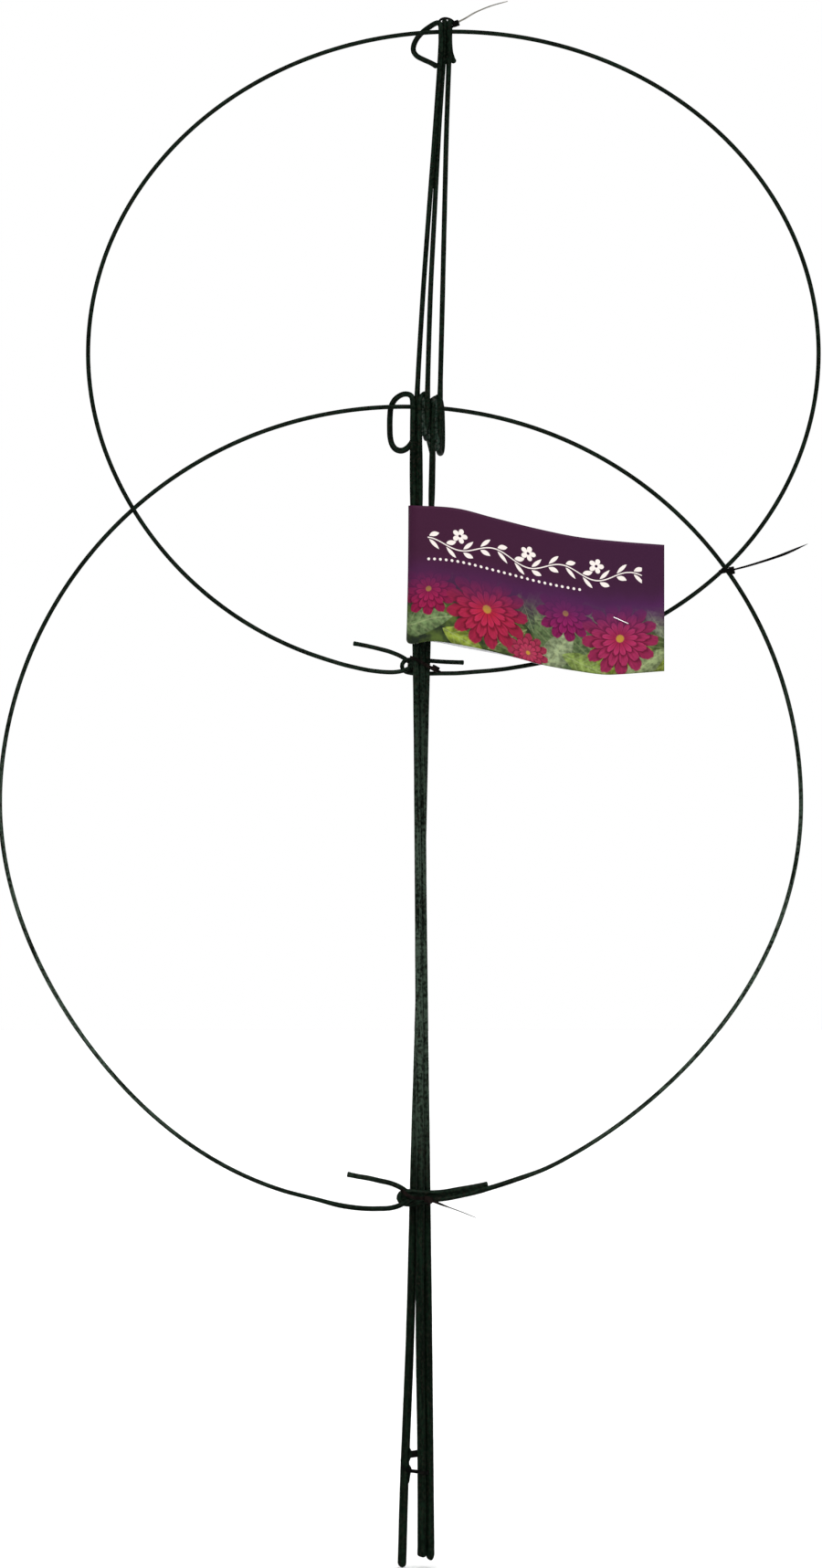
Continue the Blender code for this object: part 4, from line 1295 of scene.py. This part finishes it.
@dataclass
class FoldedCard:
    """The printed card, folded round the bundle with both panels to the right.

    top and bottom give its edges' height over the hook height by the place across, in millimetres.
    """

    hook_height: float = 527.5 * MM
    axis_x: float = 3.3 * MM
    axis_y: float = -5.0 * MM
    fold_radius: float = 7.95 * MM
    panel_gap: float = 0.9 * MM
    thickness: float = 0.35 * MM
    closed_from: float = 112 * MM
    right: float = 146.4 * MM
    spring: float = 0.03
    curl: float = 0.12 * MM
    rear_drop: float = 1.2 * MM
    rear_drop_at: float = 32.0
    rear_drop_reach: float = 30.0
    fold_slant: float = 1.2 * MM
    columns: int = 96
    fold_columns: int = 28
    rows: int = 44
    top: Table = ((-3.2, 100.0), (23.2, 98.4), (45.9, 92.7), (70.7, 86.5), (95.0, 81.6), (119.9, 78.9),
                  (146.9, 76.8))
    bottom: Table = ((-4.65, 20.8), (-4.1, 19.3), (-3.0, 18.5), (-1.0, 18.3), (8.1, 19.8), (14.6, 19.5),
                     (33.5, 16.3), (58.3, 10.3), (74.0, 6.0), (95.0, 2.2), (111.2, 0.1), (119.9, 0.3),
                     (145.8, 2.2))

    def section(self) -> list[tuple[float, float, float]]:
        """Return the card's run seen from above, from the front panel's free edge to the rear's.

        Returns:
            Across, back, and the share of the panel's width from the fold, negative at the rear.
        """
        closed = self.panel_gap / 2
        front = []
        for index in range(self.columns + 1):
            x = self.right + (self.axis_x - self.right) * index / self.columns
            share = max(0.0, (self.closed_from - x) / (self.closed_from - self.axis_x))
            opening = (1 + self.spring) * share * share / (share + self.spring)
            front.append((x, -closed - (self.fold_radius - closed) * opening))
        left = self.axis_x - self.fold_radius
        result = [(x, y, (x - left) / (self.right - left)) for x, y in front]
        for index in range(1, self.fold_columns):
            turn = math.pi * (1.5 - index / self.fold_columns)
            x = self.axis_x + self.fold_radius * math.cos(turn)
            sign = 1 if index < self.fold_columns / 2 else -1
            result.append((x, self.fold_radius * math.sin(turn), sign * (x - left) / (self.right - left)))
        result += [(x, -y, -(x - left) / (self.right - left)) for x, y in reversed(front)]
        return result

    def sheet(self, bm: bmesh.types.BMesh) -> tuple[list, list]:
        """Add the vertices of the outer and the inner face.

        Args:
            bm: The mesh to add to.

        Returns:
            The columns of the outer face and of the inner face, top to bottom.
        """
        section = self.section()
        tops = curved(self.top)
        bottoms = curved(self.bottom)
        outer = []
        inner = []
        for index, (x, y, share) in enumerate(section):
            before = section[max(index - 1, 0)]
            after = section[min(index + 1, len(section) - 1)]
            run = Vector((after[0] - before[0], after[1] - before[1], 0)).normalized()
            out = Vector((-run.y, run.x, 0))
            top = self.hook_height + interpolate(tops, x / MM) * MM
            bottom = self.hook_height + interpolate(bottoms, x / MM) * MM
            if index > len(section) / 2:
                bottom -= self.rear_drop * bump(x / MM, self.rear_drop_at, self.rear_drop_reach)
            columns = ([], [])
            for row in range(self.rows + 1):
                down = row / self.rows
                curl = self.curl * math.sin(7 * share + 2.2 * down) * min(1.0, 4 * abs(share))
                slant = -self.fold_slant * down * down * max(0.0, 1.0 - abs(share) * 3)
                point = Vector((x + slant, self.axis_y + y, top + (bottom - top) * down)) + out * curl
                for column, side in zip(columns, (0.5, -0.5)):
                    column.append(bm.verts.new(point + out * (side * self.thickness)))
            outer.append(columns[0])
            inner.append(columns[1])
        return outer, inner

    def build(self, printed: Finish, board: Finish) -> bpy.types.Object:
        """Build the card as one closed sheet, print its outside and set it on its body.

        Args:
            printed: The finish of its outer face.
            board: The finish of its inside and its cut edges.

        Returns:
            The card.
        """
        mesh = bpy.data.meshes.new("printed_card")
        bm = bmesh.new()
        print_map = bm.loops.layers.uv.new("Print")
        bake_map = bm.loops.layers.uv.new("OFBake")
        outer, inner = self.sheet(bm)
        shares = [share for _, _, share in self.section()]
        last = len(outer) - 1
        half = last // 2
        for column in range(last):
            strip = column // half
            for row in range(self.rows):
                spots = ((column, row), (column, row + 1), (column + 1, row + 1), (column + 1, row))
                for side, faces in enumerate((outer, inner)):
                    corners = spots if side == 0 else spots[::-1]
                    face = bm.faces.new([faces[at][down] for at, down in corners])
                    face.smooth = True
                    face.material_index = side
                    for loop, (at, down) in zip(face.loops, corners):
                        rise = 1 - down / self.rows
                        loop[print_map].uv = (shares[at], rise)
                        if side == 0:
                            across = 0.01 + 0.98 * (at - strip * half) / half
                            loop[bake_map].uv = (across, 0.01 + 0.42 * strip + 0.40 * rise)
                        else:
                            loop[bake_map].uv = (0.01 + 0.98 * at / last, 0.85 + 0.12 * rise)
        rim = [(column, 0) for column in range(last)] + [(last, row) for row in range(self.rows)]
        rim += [(column, self.rows) for column in range(last, 0, -1)]
        rim += [(0, row) for row in range(self.rows, 0, -1)]
        for (at, down), (next_at, next_down) in zip(rim, rim[1:] + rim[:1]):
            corners = (outer[at][down], outer[next_at][next_down], inner[next_at][next_down], inner[at][down])
            face = bm.faces.new(corners)
            face.material_index = 1
            for loop, level in zip(face.loops, (0, 0, 1, 1)):
                loop[bake_map].uv = (0.01 + 0.98 * at / last, 0.984 + 0.008 * level)
        bmesh.ops.recalc_face_normals(bm, faces=bm.faces)
        bm.to_mesh(mesh)
        bm.free()
        card = bpy.data.objects.new("printed_card", mesh)
        bpy.context.scene.collection.objects.link(card)
        mesh.materials.append(printed.material())
        mesh.materials.append(board.material())
        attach(card, Body.LABEL.value)
        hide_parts("label_card")
        LOG.info("printed_card: %d faces", len(mesh.polygons))
        return card


@dataclass
class Staple:
    """The wire staple that closes the card: crown in front, ends clinched behind."""

    wire: CoatedWire
    first: Triple = (116.5 * MM, -5.0 * MM, 561.6 * MM)
    second: Triple = (125.1 * MM, -5.0 * MM, 557.8 * MM)
    reach: float = 1.325 * MM
    radius: float = 0.3 * MM
    end_gap: float = 0.8 * MM
    shoulder: float = 1.2 * MM
    corner: float = 0.35 * MM
    blunt: WireEnd = WireEnd(0.1 * MM, 4.0)

    def build(self) -> bpy.types.Object:
        """Build the staple from one clinched end to the other.

        Returns:
            The staple.
        """
        first, second = Vector(self.first), Vector(self.second)
        run = (second - first).normalized()
        tip = (first + second) / 2
        back = Vector((0, self.reach, 0))
        gap, shoulder, corner = (run * length for length in (self.end_gap, self.shoulder, self.corner))
        places = [tip - gap + back, first + shoulder + back, first + back * 0.8]
        places += [first, first - back * 0.8, first + corner - back]
        places += [second - corner - back, second - back * 0.8, second, second + back * 0.8]
        places += [second - shoulder + back, tip + gap + back]
        stations = [Vector((*place, self.radius)) for place in places]
        return self.wire.build(smooth(stations), self.blunt, self.blunt)


# Studio


@dataclass
class Studio:
    """Pale floor, white surroundings, soft light and a long lens straight on."""

    width: float = 486.0 * MM
    height: float = 927.18 * MM
    centre: Triple = (-3.24 * MM, 0.0, 463.05 * MM)
    lens: float = 250.0
    sensor: float = 36.0
    floor_radius: float = 14.0
    floor_drop: float = 0.6 * MM
    surround: float = 0.06
    key: tuple[float, float, float, float] = (4.2, 50.0, -24.0, 80.0)
    fill: tuple[float, float, float, float] = (2.0, 36.0, 40.0, 90.0)

    def build(self) -> None:
        """Set up camera, floor, surroundings and lights."""
        self.add_camera()
        self.add_floor()
        self.add_surroundings()
        for name, light in (("key_light", self.key), ("fill_light", self.fill)):
            self.add_sun(name, *light)
        bpy.context.scene.view_settings.view_transform = "Standard"

    def add_camera(self) -> None:
        """Put the camera straight in front, with the photograph's frame at the legs' depth."""
        data = bpy.data.cameras.new("camera")
        data.lens = self.lens
        data.sensor_width = self.sensor
        data.clip_end = 100.0
        camera = bpy.data.objects.new("camera", data)
        distance = self.lens * self.height / self.sensor
        camera.location = Vector(self.centre) + Vector((0, -distance, 0))
        camera.rotation_euler = (math.radians(90), 0, 0)
        bpy.context.scene.collection.objects.link(camera)
        bpy.context.scene.camera = camera

    def add_floor(self) -> None:
        """Lay the floor as a wide disc just under the feet."""
        mesh = bpy.data.meshes.new("studio_floor")
        bm = bmesh.new()
        bmesh.ops.create_circle(bm, cap_ends=True, segments=96, radius=self.floor_radius)
        bm.to_mesh(mesh)
        bm.free()
        floor = bpy.data.objects.new("studio_floor", mesh)
        floor.location = (0, 0, -self.floor_drop)
        bpy.context.scene.collection.objects.link(floor)
        mesh.materials.append(PaleFloor("pale_floor").material())

    def add_surroundings(self) -> None:
        """Make the surroundings white to look at and dim as a light, as in a studio with flags."""
        world = bpy.data.worlds.new("studio")
        bpy.context.scene.world = world
        world.use_nodes = True
        graph = Graph(world.node_tree)
        background = world.node_tree.nodes["Background"]
        seen = graph.node("ShaderNodeLightPath").outputs["Is Camera Ray"]
        background.inputs["Color"].default_value = (1, 1, 1, 1)
        strength = graph.math("MULTIPLY_ADD", seen, 1 - self.surround, self.surround)
        graph.feed(background.inputs["Strength"], strength)

    def add_sun(self, name: str, strength: float, elevation: float, azimuth: float, spread: float) -> None:
        """Add a wide soft light.

        Args:
            name: The light's name.
            strength: Its strength.
            elevation: Its height over the horizon in degrees.
            azimuth: Its direction to the right of the camera's in degrees.
            spread: Its angular size in degrees.
        """
        data = bpy.data.lights.new(name, "SUN")
        data.energy = strength
        data.angle = math.radians(spread)
        sun = bpy.data.objects.new(name, data)
        sun.rotation_euler = (math.radians(90 - elevation), 0, math.radians(azimuth))
        bpy.context.scene.collection.objects.link(sun)


# The support


@dataclass
class FlowerSupport:
    """The whole folded support, sub-assembly by sub-assembly."""

    hoop_radius: float = 1.3 * MM
    lower_hook_radius: float = 1.45 * MM
    upper_pitch: float = 3.0
    lower_pitch: float = 3.2

    def upper_hoop(self) -> Hoop:
        """Return the upper hoop, its hooks linked just below the card.

        Returns:
            The hoop, not yet built.
        """
        deep = self.upper_pitch
        wire = CoatedWire("upper_hoop_wire", "upper_hoop", Body.UPPER_HOOP, DippedCoat("hoop_coat"),
                          "upper_hoop_coat")
        return Hoop(
            wire, top=(21.8 * MM, 0, 907.9 * MM), half_width=216.0 * MM, half_height=190.2 * MM,
            bends=((-115, 45, 2.6 * MM), (-70, 35, -1.7 * MM)), arc=(-74, 246), hook_depth=4.4 * MM,
            lean=(((0.007, 4.4 * MM), (0.164, 2.9 * MM), (0.453, 1.6 * MM), (0.927, 0.4 * MM), (0.992, 0)),
                  ((0.007, 1.4 * MM), (0.256, 1.6 * MM), (0.453, 1.2 * MM), (0.927, 0.4 * MM), (0.992, 0))),
            right_hook=(
                (56.2, 0, 4.2), (45.4, 0, 2.8), (34.6, 0, 1.9), (23.8, 0, 1.1), (15.1, 0, 1.0), (4.9, 0, 0.9),
                (-3.2, 0, 1.2), (-7.3, 0, 2.5), (-8.6, 0, 5.3), (-7.3, 0, 8.1), (-3.6, 0, 9.2), (4.9, 0, 8.7),
                (15.1, 0, 7.9), (28.1, 0, 7.4)),
            left_hook=(
                (-45.4, -deep, 6.8), (-36.7, -deep, 4.6), (-28.1, -deep, 2.8), (-19.4, -deep, 1.8),
                (-13.0, -deep, 1.7), (-8.2, -deep, 2.5), (-4.6, -deep, 3.9), (-2.5, -0.57 * deep, 4.9),
                (-1.9, 0, 5.4), (-2.5, 0.57 * deep, 6.0), (-4.6, deep, 8.1), (-8.6, deep, 10.8),
                (-15.1, deep, 13.6), (-23.8, deep, 16.0), (-32.4, deep, 17.9), (-37.5, deep, 18.8)),
            radius=self.hoop_radius, hook_radius=self.hoop_radius, webs=(self.web(
                4.4, 527.5, ((-5.3, 5.4, 0.5, 0.2), (-4.8, 5.4, 2.4, 0.4), (-3.2, 5.3, 3.2, 0.5),
                             (-0.4, 4.9, 3.1, 0.5), (1.4, 4.8, 2.6, 0.3), (2.0, 4.8, 0.5, 0.1))),))

    def lower_hoop(self) -> Hoop:
        """Return the lower hoop, a little wider, its hooks in front of the legs.

        Returns:
            The hoop, not yet built.
        """
        deep = self.lower_pitch
        wire = CoatedWire("lower_hoop_wire", "lower_hoop", Body.LOWER_HOOP, DippedCoat("hoop_coat"),
                          "lower_hoop_coat")
        return Hoop(
            wire, top=(-9.7 * MM, 0, 685.8 * MM), half_width=236.5 * MM, half_height=236.5 * MM,
            bends=((-50, 50, -9.2 * MM), (-145, 40, -5.4 * MM), (45, 60, 2.2 * MM)), arc=(-68, 258),
            hook_depth=-10.8 * MM,
            lean=(((0.007, -10.8 * MM), (0.501, -6.0 * MM), (0.797, -3.2 * MM), (0.967, -0.6 * MM),
                   (0.996, 0)),
                  ((0.007, -14.0 * MM), (0.501, -6.6 * MM), (0.871, -2.3 * MM), (0.967, -0.6 * MM),
                   (0.996, 0))),
            right_hook=(
                (56.2, 0, 15.9), (45.4, 0, 12.4), (34.6, 0, 9.2), (23.8, 0, 6.8), (17.3, 0, 5.6),
                (10.3, 0, 4.8), (2.2, 0, 3.3), (-4.3, 0, 2.2), (-8.6, 0, 3.1), (-10.4, 0, 6.0),
                (-8.6, 0, 9.1), (-4.3, 0, 9.7),
                (3.2, 0, 9.1), (10.8, 0, 9.0), (17.3, 0, 9.6), (23.8, 0, 10.8), (34.6, 1.4, 12.6),
                (42.1, 2.6, 14.0)),
            left_hook=(
                (-45.4, -deep, 1.7), (-32.4, -deep, -0.1), (-21.6, -deep, -0.3), (-15.1, -deep, 0.1),
                (-9.5, -deep, 1.8), (-5.4, -deep, 4.2), (-3.2, -0.56 * deep, 5.6), (-2.6, 0, 6.1),
                (-3.2, 0.56 * deep, 6.7), (-5.2, deep, 8.8), (-8.8, deep, 11.6), (-15.1, deep, 14.4),
                (-21.6, deep, 15.9), (-28.1, deep, 17.4), (-34.6, deep, 18.5), (-41.0, deep, 19.8)),
            radius=self.hoop_radius, hook_radius=self.lower_hook_radius * 1.06, webs=(
                self.web(-10.8, 212.8, ((-9.6, 6.0, 0.5, 0.3), (-9.0, 6.0, 2.4, 0.6), (-6.5, 6.0, 3.4, 0.7),
                                        (-3.5, 6.0, 3.5, 0.7), (0.0, 6.2, 3.2, 0.6), (3.0, 6.4, 2.8, 0.5),
                                        (4.4, 6.5, 0.6, 0.2))),
                self.web(-10.8, 212.8, ((5.0, 6.7, 0.5, 0.2), (6.0, 6.8, 1.8, 0.5), (12.0, 7.0, 1.7, 0.7),
                                        (20.0, 8.2, 1.7, 0.7), (29.0, 10.0, 1.5, 0.7), (37.0, 11.9, 1.4, 0.7),
                                        (40.0, 12.8, 0.9, 0.4), (40.8, 13.0, 0.2, 0.1)))))

    def web(self, depth: float, base: float, rows: tuple[tuple[float, float, float, float], ...]) -> CoatWeb:
        """Return a web between a hook's strands.

        Args:
            depth: Its depth in millimetres.
            base: The height of the hook point in millimetres.
            rows: Across, height over the hook point, half height and half thickness of each row.

        Returns:
            The web.
        """
        laid = []
        for across, up, half, thick in rows:
            back = depth + max(0.0, across - 24) * 0.075
            laid.append(((across, back, base + up), (0.0, 0.0, half), thick))
        return CoatWeb(tuple(laid), paler=False)

    def legs(self) -> list[Leg]:
        """Return the three legs, tied as a bundle.

        Returns:
            The legs, not yet built.
        """
        def wire(side: str) -> CoatedWire:
            """Return the wire of one leg."""
            node = f"leg_{side}"
            finish = DippedCoat("leg_coat")
            return CoatedWire(f"{node}_wire", node, Body.LEGS, finish, f"{node}_coat", sides=20)

        left = Leg(
            wire("left"),
            below=((1.26, -1.68, 6.2), (1.26, -1.72, 35), (1.2, -1.8, 70), (0.8, -2, 140), (0.88, -2.1, 230),
                   (0.56, -2.99, 378), (-0.2, -4, 527), (-1.1, -4.19, 600)),
            coil=(-1.35, -4.56, 146), above=((2.3, -2.94, 750), (4.5, -3.69, 799), (6.9, -4.38, 850)),
            eye=(9.05, -4.5, 136), eye_drop=0.0, eye_tail=((6.9, -24.2, 0.85), (3.7, -26.6, 0.97)),
            foot=WireEnd(2.2 * MM, 3.0, (-0.3 * MM, 0, 0), swell=0.05, swell_run=9 * MM))
        middle = Leg(
            wire("middle"),
            below=((3.24, -0.64, 4.3), (3.12, -0.64, 35), (2.72, -0.52, 140), (2.28, -0.36, 230),
                   (2.13, -0.91, 378), (2.0, -2.5, 527), (1.25, -3.88, 615)),
            coil=(1.08, -4.56, 82), above=((5.1, -4.3, 750), (6.6, -3.38, 799), (8.3, -2.7, 850)),
            eye=(10.35, -2.5, 95), eye_drop=-1.0, eye_tail=((6.6, -24, 0.9), (4.4, -25.4, 0.97)),
            foot=WireEnd(3.4 * MM, 1.9, (1.2 * MM, 0, 0)), coil_rise=7.4, coil_length=0.78,
            coil_pitch=4.8 * MM,
            webs=(CoatWeb((
                ((3.9, -7.6, 668.5), (0.4, 0, 0), 0.2), ((3.9, -7.6, 670.0), (2.2, 0, 0), 0.7),
                ((3.9, -7.6, 676.0), (2.3, 0, 0), 0.9), ((3.9, -7.6, 684.0), (2.3, 0, 0), 0.8),
                ((3.8, -7.4, 690.0), (2.2, 0, 0), 0.9), ((3.6, -7.2, 692.2), (0.4, 0, 0), 0.2))), CoatWeb((
                ((-0.1, -7.0, 670.0), (0.2, 0, 0), 0.15), ((-0.1, -7.0, 667.0), (0.8, 0, 0), 0.5),
                ((-0.1, -7.0, 650.0), (0.8, 0, 0), 0.5), ((-0.05, -6.9, 632.0), (0.8, 0, 0), 0.5),
                ((0.0, -6.9, 616.0), (0.8, 0, 0), 0.5), ((0.0, -6.9, 611.0), (0.2, 0, 0), 0.15)),
                paler=False)))
        right = Leg(
            wire("right"),
            below=((-3.44, -0.96, 0), (-3.08, -0.92, 35), (-2.72, -0.75, 62), (-1.5, -0.4, 138),
                   (-0.54, 0.08, 230), (1.32, 1.52, 378), (3.0, 1, 470), (3.78, -0.5, 527),
                   (5.12, -1.94, 600)),
            coil=(5.94, -2.5, 79), above=((9.6, -3, 750), (10.31, -2.9, 799), (11.1, -3.0, 850)),
            eye=(12.2, -3.5, 93), eye_drop=-0.5, eye_tail=((7.2, -24.6, 0.82), (5.2, -25.7, 0.92)),
            foot=WireEnd(3.0 * MM, 2.1, (-0.4 * MM, 0, 0)), eye_length=0.92, coil_rise=-1.2,
            coil_length=0.985,
            webs=(CoatWeb((
                ((11.6, -4.4, 659.6), (0.5, 0, 0), 0.2), ((11.7, -4.4, 661.5), (2.1, -0.4, 0), 0.8),
                ((11.7, -4.4, 668.0), (2.3, -0.4, 0), 1.1), ((11.7, -4.4, 676.0), (2.3, -0.4, 0), 0.9),
                ((11.5, -4.4, 682.0), (2.5, -0.4, 0), 0.8), ((10.8, -4.3, 687.0), (3.2, -0.4, 0), 0.9),
                ((10.9, -4.3, 690.5), (3.0, -0.4, 0), 0.8), ((11.3, -4.2, 692.4), (1.0, 0, 0), 0.2))),
                CoatWeb((
                ((7.0, -5.2, 673.0), (0.3, 0, 0), 0.1), ((6.7, -5.2, 671.0), (1.5, 0, 0), 0.5),
                ((7.0, -4.9, 666.0), (1.2, 0, 0), 0.6), ((7.6, -4.5, 661.5), (0.7, 0, 0), 0.4),
                ((8.0, -4.3, 657.5), (0.2, 0, 0), 0.1))), CoatWeb((
                ((-4.5, -2.3, 73.0), (0.2, 0, 0), 0.2), ((-4.3, -2.3, 70.5), (0.6, 0, 0), 0.7),
                ((-3.8, -2.3, 67.5), (1.6, 0, 0), 0.9), ((-4.2, -2.3, 64.5), (0.8, 0, 0), 0.7),
                ((-4.5, -2.3, 62.5), (0.2, 0, 0), 0.2)), paler=False), CoatWeb((
                ((-4.5, -2.3, 61.0), (0.2, 0, 0), 0.2), ((-4.1, -2.3, 58.5), (1.2, 0, 0), 0.8),
                ((-4.2, -2.3, 55.5), (0.8, 0, 0), 0.7), ((-4.5, -2.3, 50.0), (0.2, 0, 0), 0.2)), paler=False)))
        return [left, middle, right]

    def ties(self, crossing: Vector) -> list[CableTie]:
        """Return the five cable ties.

        Args:
            crossing: The point of the lower hoop where the hoops cross at the right.

        Returns:
            The ties, from the top down.
        """
        black = MouldedNylon("black_nylon")
        grey = MouldedNylon("grey_nylon", core=(0.10, 0.095, 0.080), rubbed=(0.24, 0.23, 0.20))
        brown = MouldedNylon("brown_nylon", core=(0.0022, 0.0014, 0.0012), rubbed=(0.010, 0.0065, 0.0055))
        top = CableTie(
            "top_tie_strap", "top_tie", Body.LEGS, black, anchor=(17.5 * MM, 1.6 * MM, 913.8 * MM),
            radius=1.6 * MM, axis=(0, 1, 0),
            loop=((3.1, 0, -0.35), (2.3, 0, 0.45), (1.1, 0, 1.1), (-0.5, 0, 1.35), (-1.9, 0, 0.9),
                  (-2.75, 0, -0.3), (-2.3, 0, -1.7), (-0.6, 0, -2.3), (1.3, 0, -2.3), (2.5, 0, -1.7),
                  (3.1, 0, -0.8)),
            tail=((3.9, 0, -0.3), (6.88, 0, 1.19), (10.69, 0, 3.44), (16.56, 0, 5.88), (22.81, 0, 7.63)),
            tail_axes=((0, 1, 0), (0, 1, 0)), tail_widths=((0, 1.0), (0.1, 0.6), (0.7, 0.35), (1, 0.12)),
            head=(3.6, 0, -0.62), head_along=(0.9, 0, 0.3), head_size=(2.1, 1.8, 1.9),
            strap_thickness=1.3 * MM, tail_finish=grey)
        upper = CableTie(
            "upper_hook_tie_strap", "upper_hook_tie", Body.LEGS, brown, anchor=(0, 0, 527.5 * MM),
            radius=1.6 * MM, axis=(0.3, 0, 1),
            loop=((6.88, -1.19, 2.12), (5.75, 0.37, 2.44), (4.5, 1.19, 3.12), (2.81, 0.69, 4.06),
                  (0.94, -0.94, 5.13), (-1.19, -2.5, 6.19), (-2.2, -3.94, 6.5), (-1.81, -5.45, 6.4),
                  (-0.37, -5.85, 5.87), (1.38, -5.1, 4.94), (3.44, -3.6, 3.75), (5.25, -2.6, 2.75),
                  (6.88, -1.94, 2.12)),
            tail=((7.25, -1.56, 2.1), (8.69, -1.56, 1.3), (10, -1.56, 0.6)),
            tail_axes=((0, 1, 0.2), (0, 1, 0.2)), tail_widths=((0, 1.0), (0.8, 0.8), (1, 0.3)),
            head=(6.95, -1.56, 2.3), head_along=(0.93, 0, -0.5), head_size=(2.4, 1.9, 2.1))
        lower = CableTie(
            "lower_hook_tie_strap", "lower_hook_tie", Body.LOWER_HOOP, brown,
            anchor=(0, -10.8 * MM, 212.8 * MM), radius=self.lower_hook_radius, axis=(0.25, 0.05, 1),
            loop=((4.41, -2.48, 4), (1.72, -2.95, 4), (-1.24, -3.72, 4.28), (-3.5, -3.5, 5.2),
                  (-4.9, -2.5, 6.3), (-5.6, -1.1, 7.0), (-6.1, 0.6, 7.5), (-6.15, 2.2, 7.5),
                  (-5.6, 3.7, 7.0), (-4.6, 4.0, 6.2), (-3.4, 3.95, 5.4), (-1.52, 3.7, 4.21),
                  (0.41, 1.85, 2.9), (2.21, 1.5, 2.0), (4.41, 1.05, 1.75), (5.52, -0.14, 1.5),
                  (5.24, -1.5, 2.2), (4.69, -2.34, 3.1)),
            tail=((5.1, -2.34, 3.5), (7.59, -2.21, 2.5), (11.52, -1.93, 0.95), (17.93, -1.79, -1.4),
                  (24.21, -1.79, -3.9)),
            tail_axes=((0.1, 0.8, 0.6), (0, 1, 0)),
            tail_widths=((0, 1.15), (0.25, 0.9), (0.45, 0.4), (0.9, 0.25), (1, 0.1)),
            head=(4.9, -2.34, 3.4), head_along=(1, 0, -0.2), head_size=(2.6, 2.0, 2.0))
        side = CableTie(
            "crossing_tie_strap", "crossing_tie", Body.LOWER_HOOP, black, anchor=tuple(crossing),
            radius=self.hoop_radius, axis=(-0.309, 0, 0.951),
            loop=((2.7, 0.38, -0.35), (1.6, 1.62, -0.45), (0, 1.77, -0.6), (-1.5, 1.62, -0.85),
                  (-2.5, 0.92, -1.1), (-2.8, 0, -1.2), (-2.5, -0.92, -1.1), (-1.5, -1.62, -0.85),
                  (0, -1.77, -0.6), (1.6, -1.62, -0.45), (2.7, -0.46, -0.35)),
            tail=((3.4, 0, -0.1), (9, -0.1, 1.35), (14.7, -0.2, 3.05), (25.6, -0.38, 6.7), (37, -0.54, 11.6)),
            tail_axes=((-0.05, 1, 0.1), (-0.309, 0.2, 0.951)),
            tail_widths=((0, 0.6), (0.35, 0.55), (0.7, 0.62), (0.85, 0.45), (1, 0.06)),
            head=(2.5, 0, -0.5), head_along=(0.98, 0, 0.2), head_size=(1.3, 1.8, 1.9),
            strap_width=2.5 * MM, strap_thickness=1.3 * MM)
        foot = CableTie(
            "foot_tie_strap", "foot_tie", Body.LEGS, black, anchor=(0, 0, 62.2 * MM), radius=2.5 * MM,
            axis=(0, 0, 1),
            loop=((-0.75, -0.1, 1.9), (-2.0, -0.15, 1.8), (-3.0, -0.3, 1.3), (-3.55, -0.95, 0.0),
                  (-3.1, -1.6, -1.5), (-2.2, -1.65, -1.9), (-1.3, -2.0, -2.0), (-0.3, -2.45, -2.1),
                  (0.6, -2.78, -2.2), (1.3, -2.84, -2.35), (2.0, -2.5, -2.45), (2.8, -1.6, -2.4),
                  (3.5, -0.9, -1.2), (3.4, -0.3, 0.3), (2.6, 0.1, 1.2), (1.4, -0.3, 1.7), (0.3, -0.3, 1.9)),
            tail=((-0.3, 0.15, 1.9), (0.6, 0.4, 1.9), (1.6, 0.5, 1.95)), tail_axes=((0, 0, 1), (0, 0, 1)),
            tail_widths=((0, 1.0), (0.8, 0.9), (1, 0.4)), head=(-0.85, 0.0, 1.85), head_along=(1, 0, 0.15),
            head_size=(2.7, 1.8, 2.7), strap_width=2.2 * MM)
        return [top, upper, lower, side, foot]

    def build(self) -> None:
        """Build every sub-assembly in order."""
        for leg in self.legs():
            leg.build()
        self.upper_hoop().build()
        lower = self.lower_hoop()
        lower.build()
        for tie in self.ties(lower.ring_point(36.1)):
            tie.build()
        FoldedCard().build(FlowerPrint("flower_print"), GreyBoard("grey_board"))
        steel = CoatedWire("staple_wire", "label_staple", Body.LABEL, DrawnSteel("drawn_steel"),
                           "label_staple_steel", sides=12, step=0.15 * MM, lumps=0.01, map_rows=2)
        Staple(steel).build()


def corners(box: tuple[Vector, Vector]) -> list[list[float]]:
    """Return a box's two corners as plain lists of numbers."""
    return [list(corner) for corner in box]


def main() -> None:
    """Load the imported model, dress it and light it."""
    logging.basicConfig(level=logging.INFO, format="%(name)s %(message)s")
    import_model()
    Studio().build()
    FlowerSupport().build()


if __name__ == "__main__":
    main()
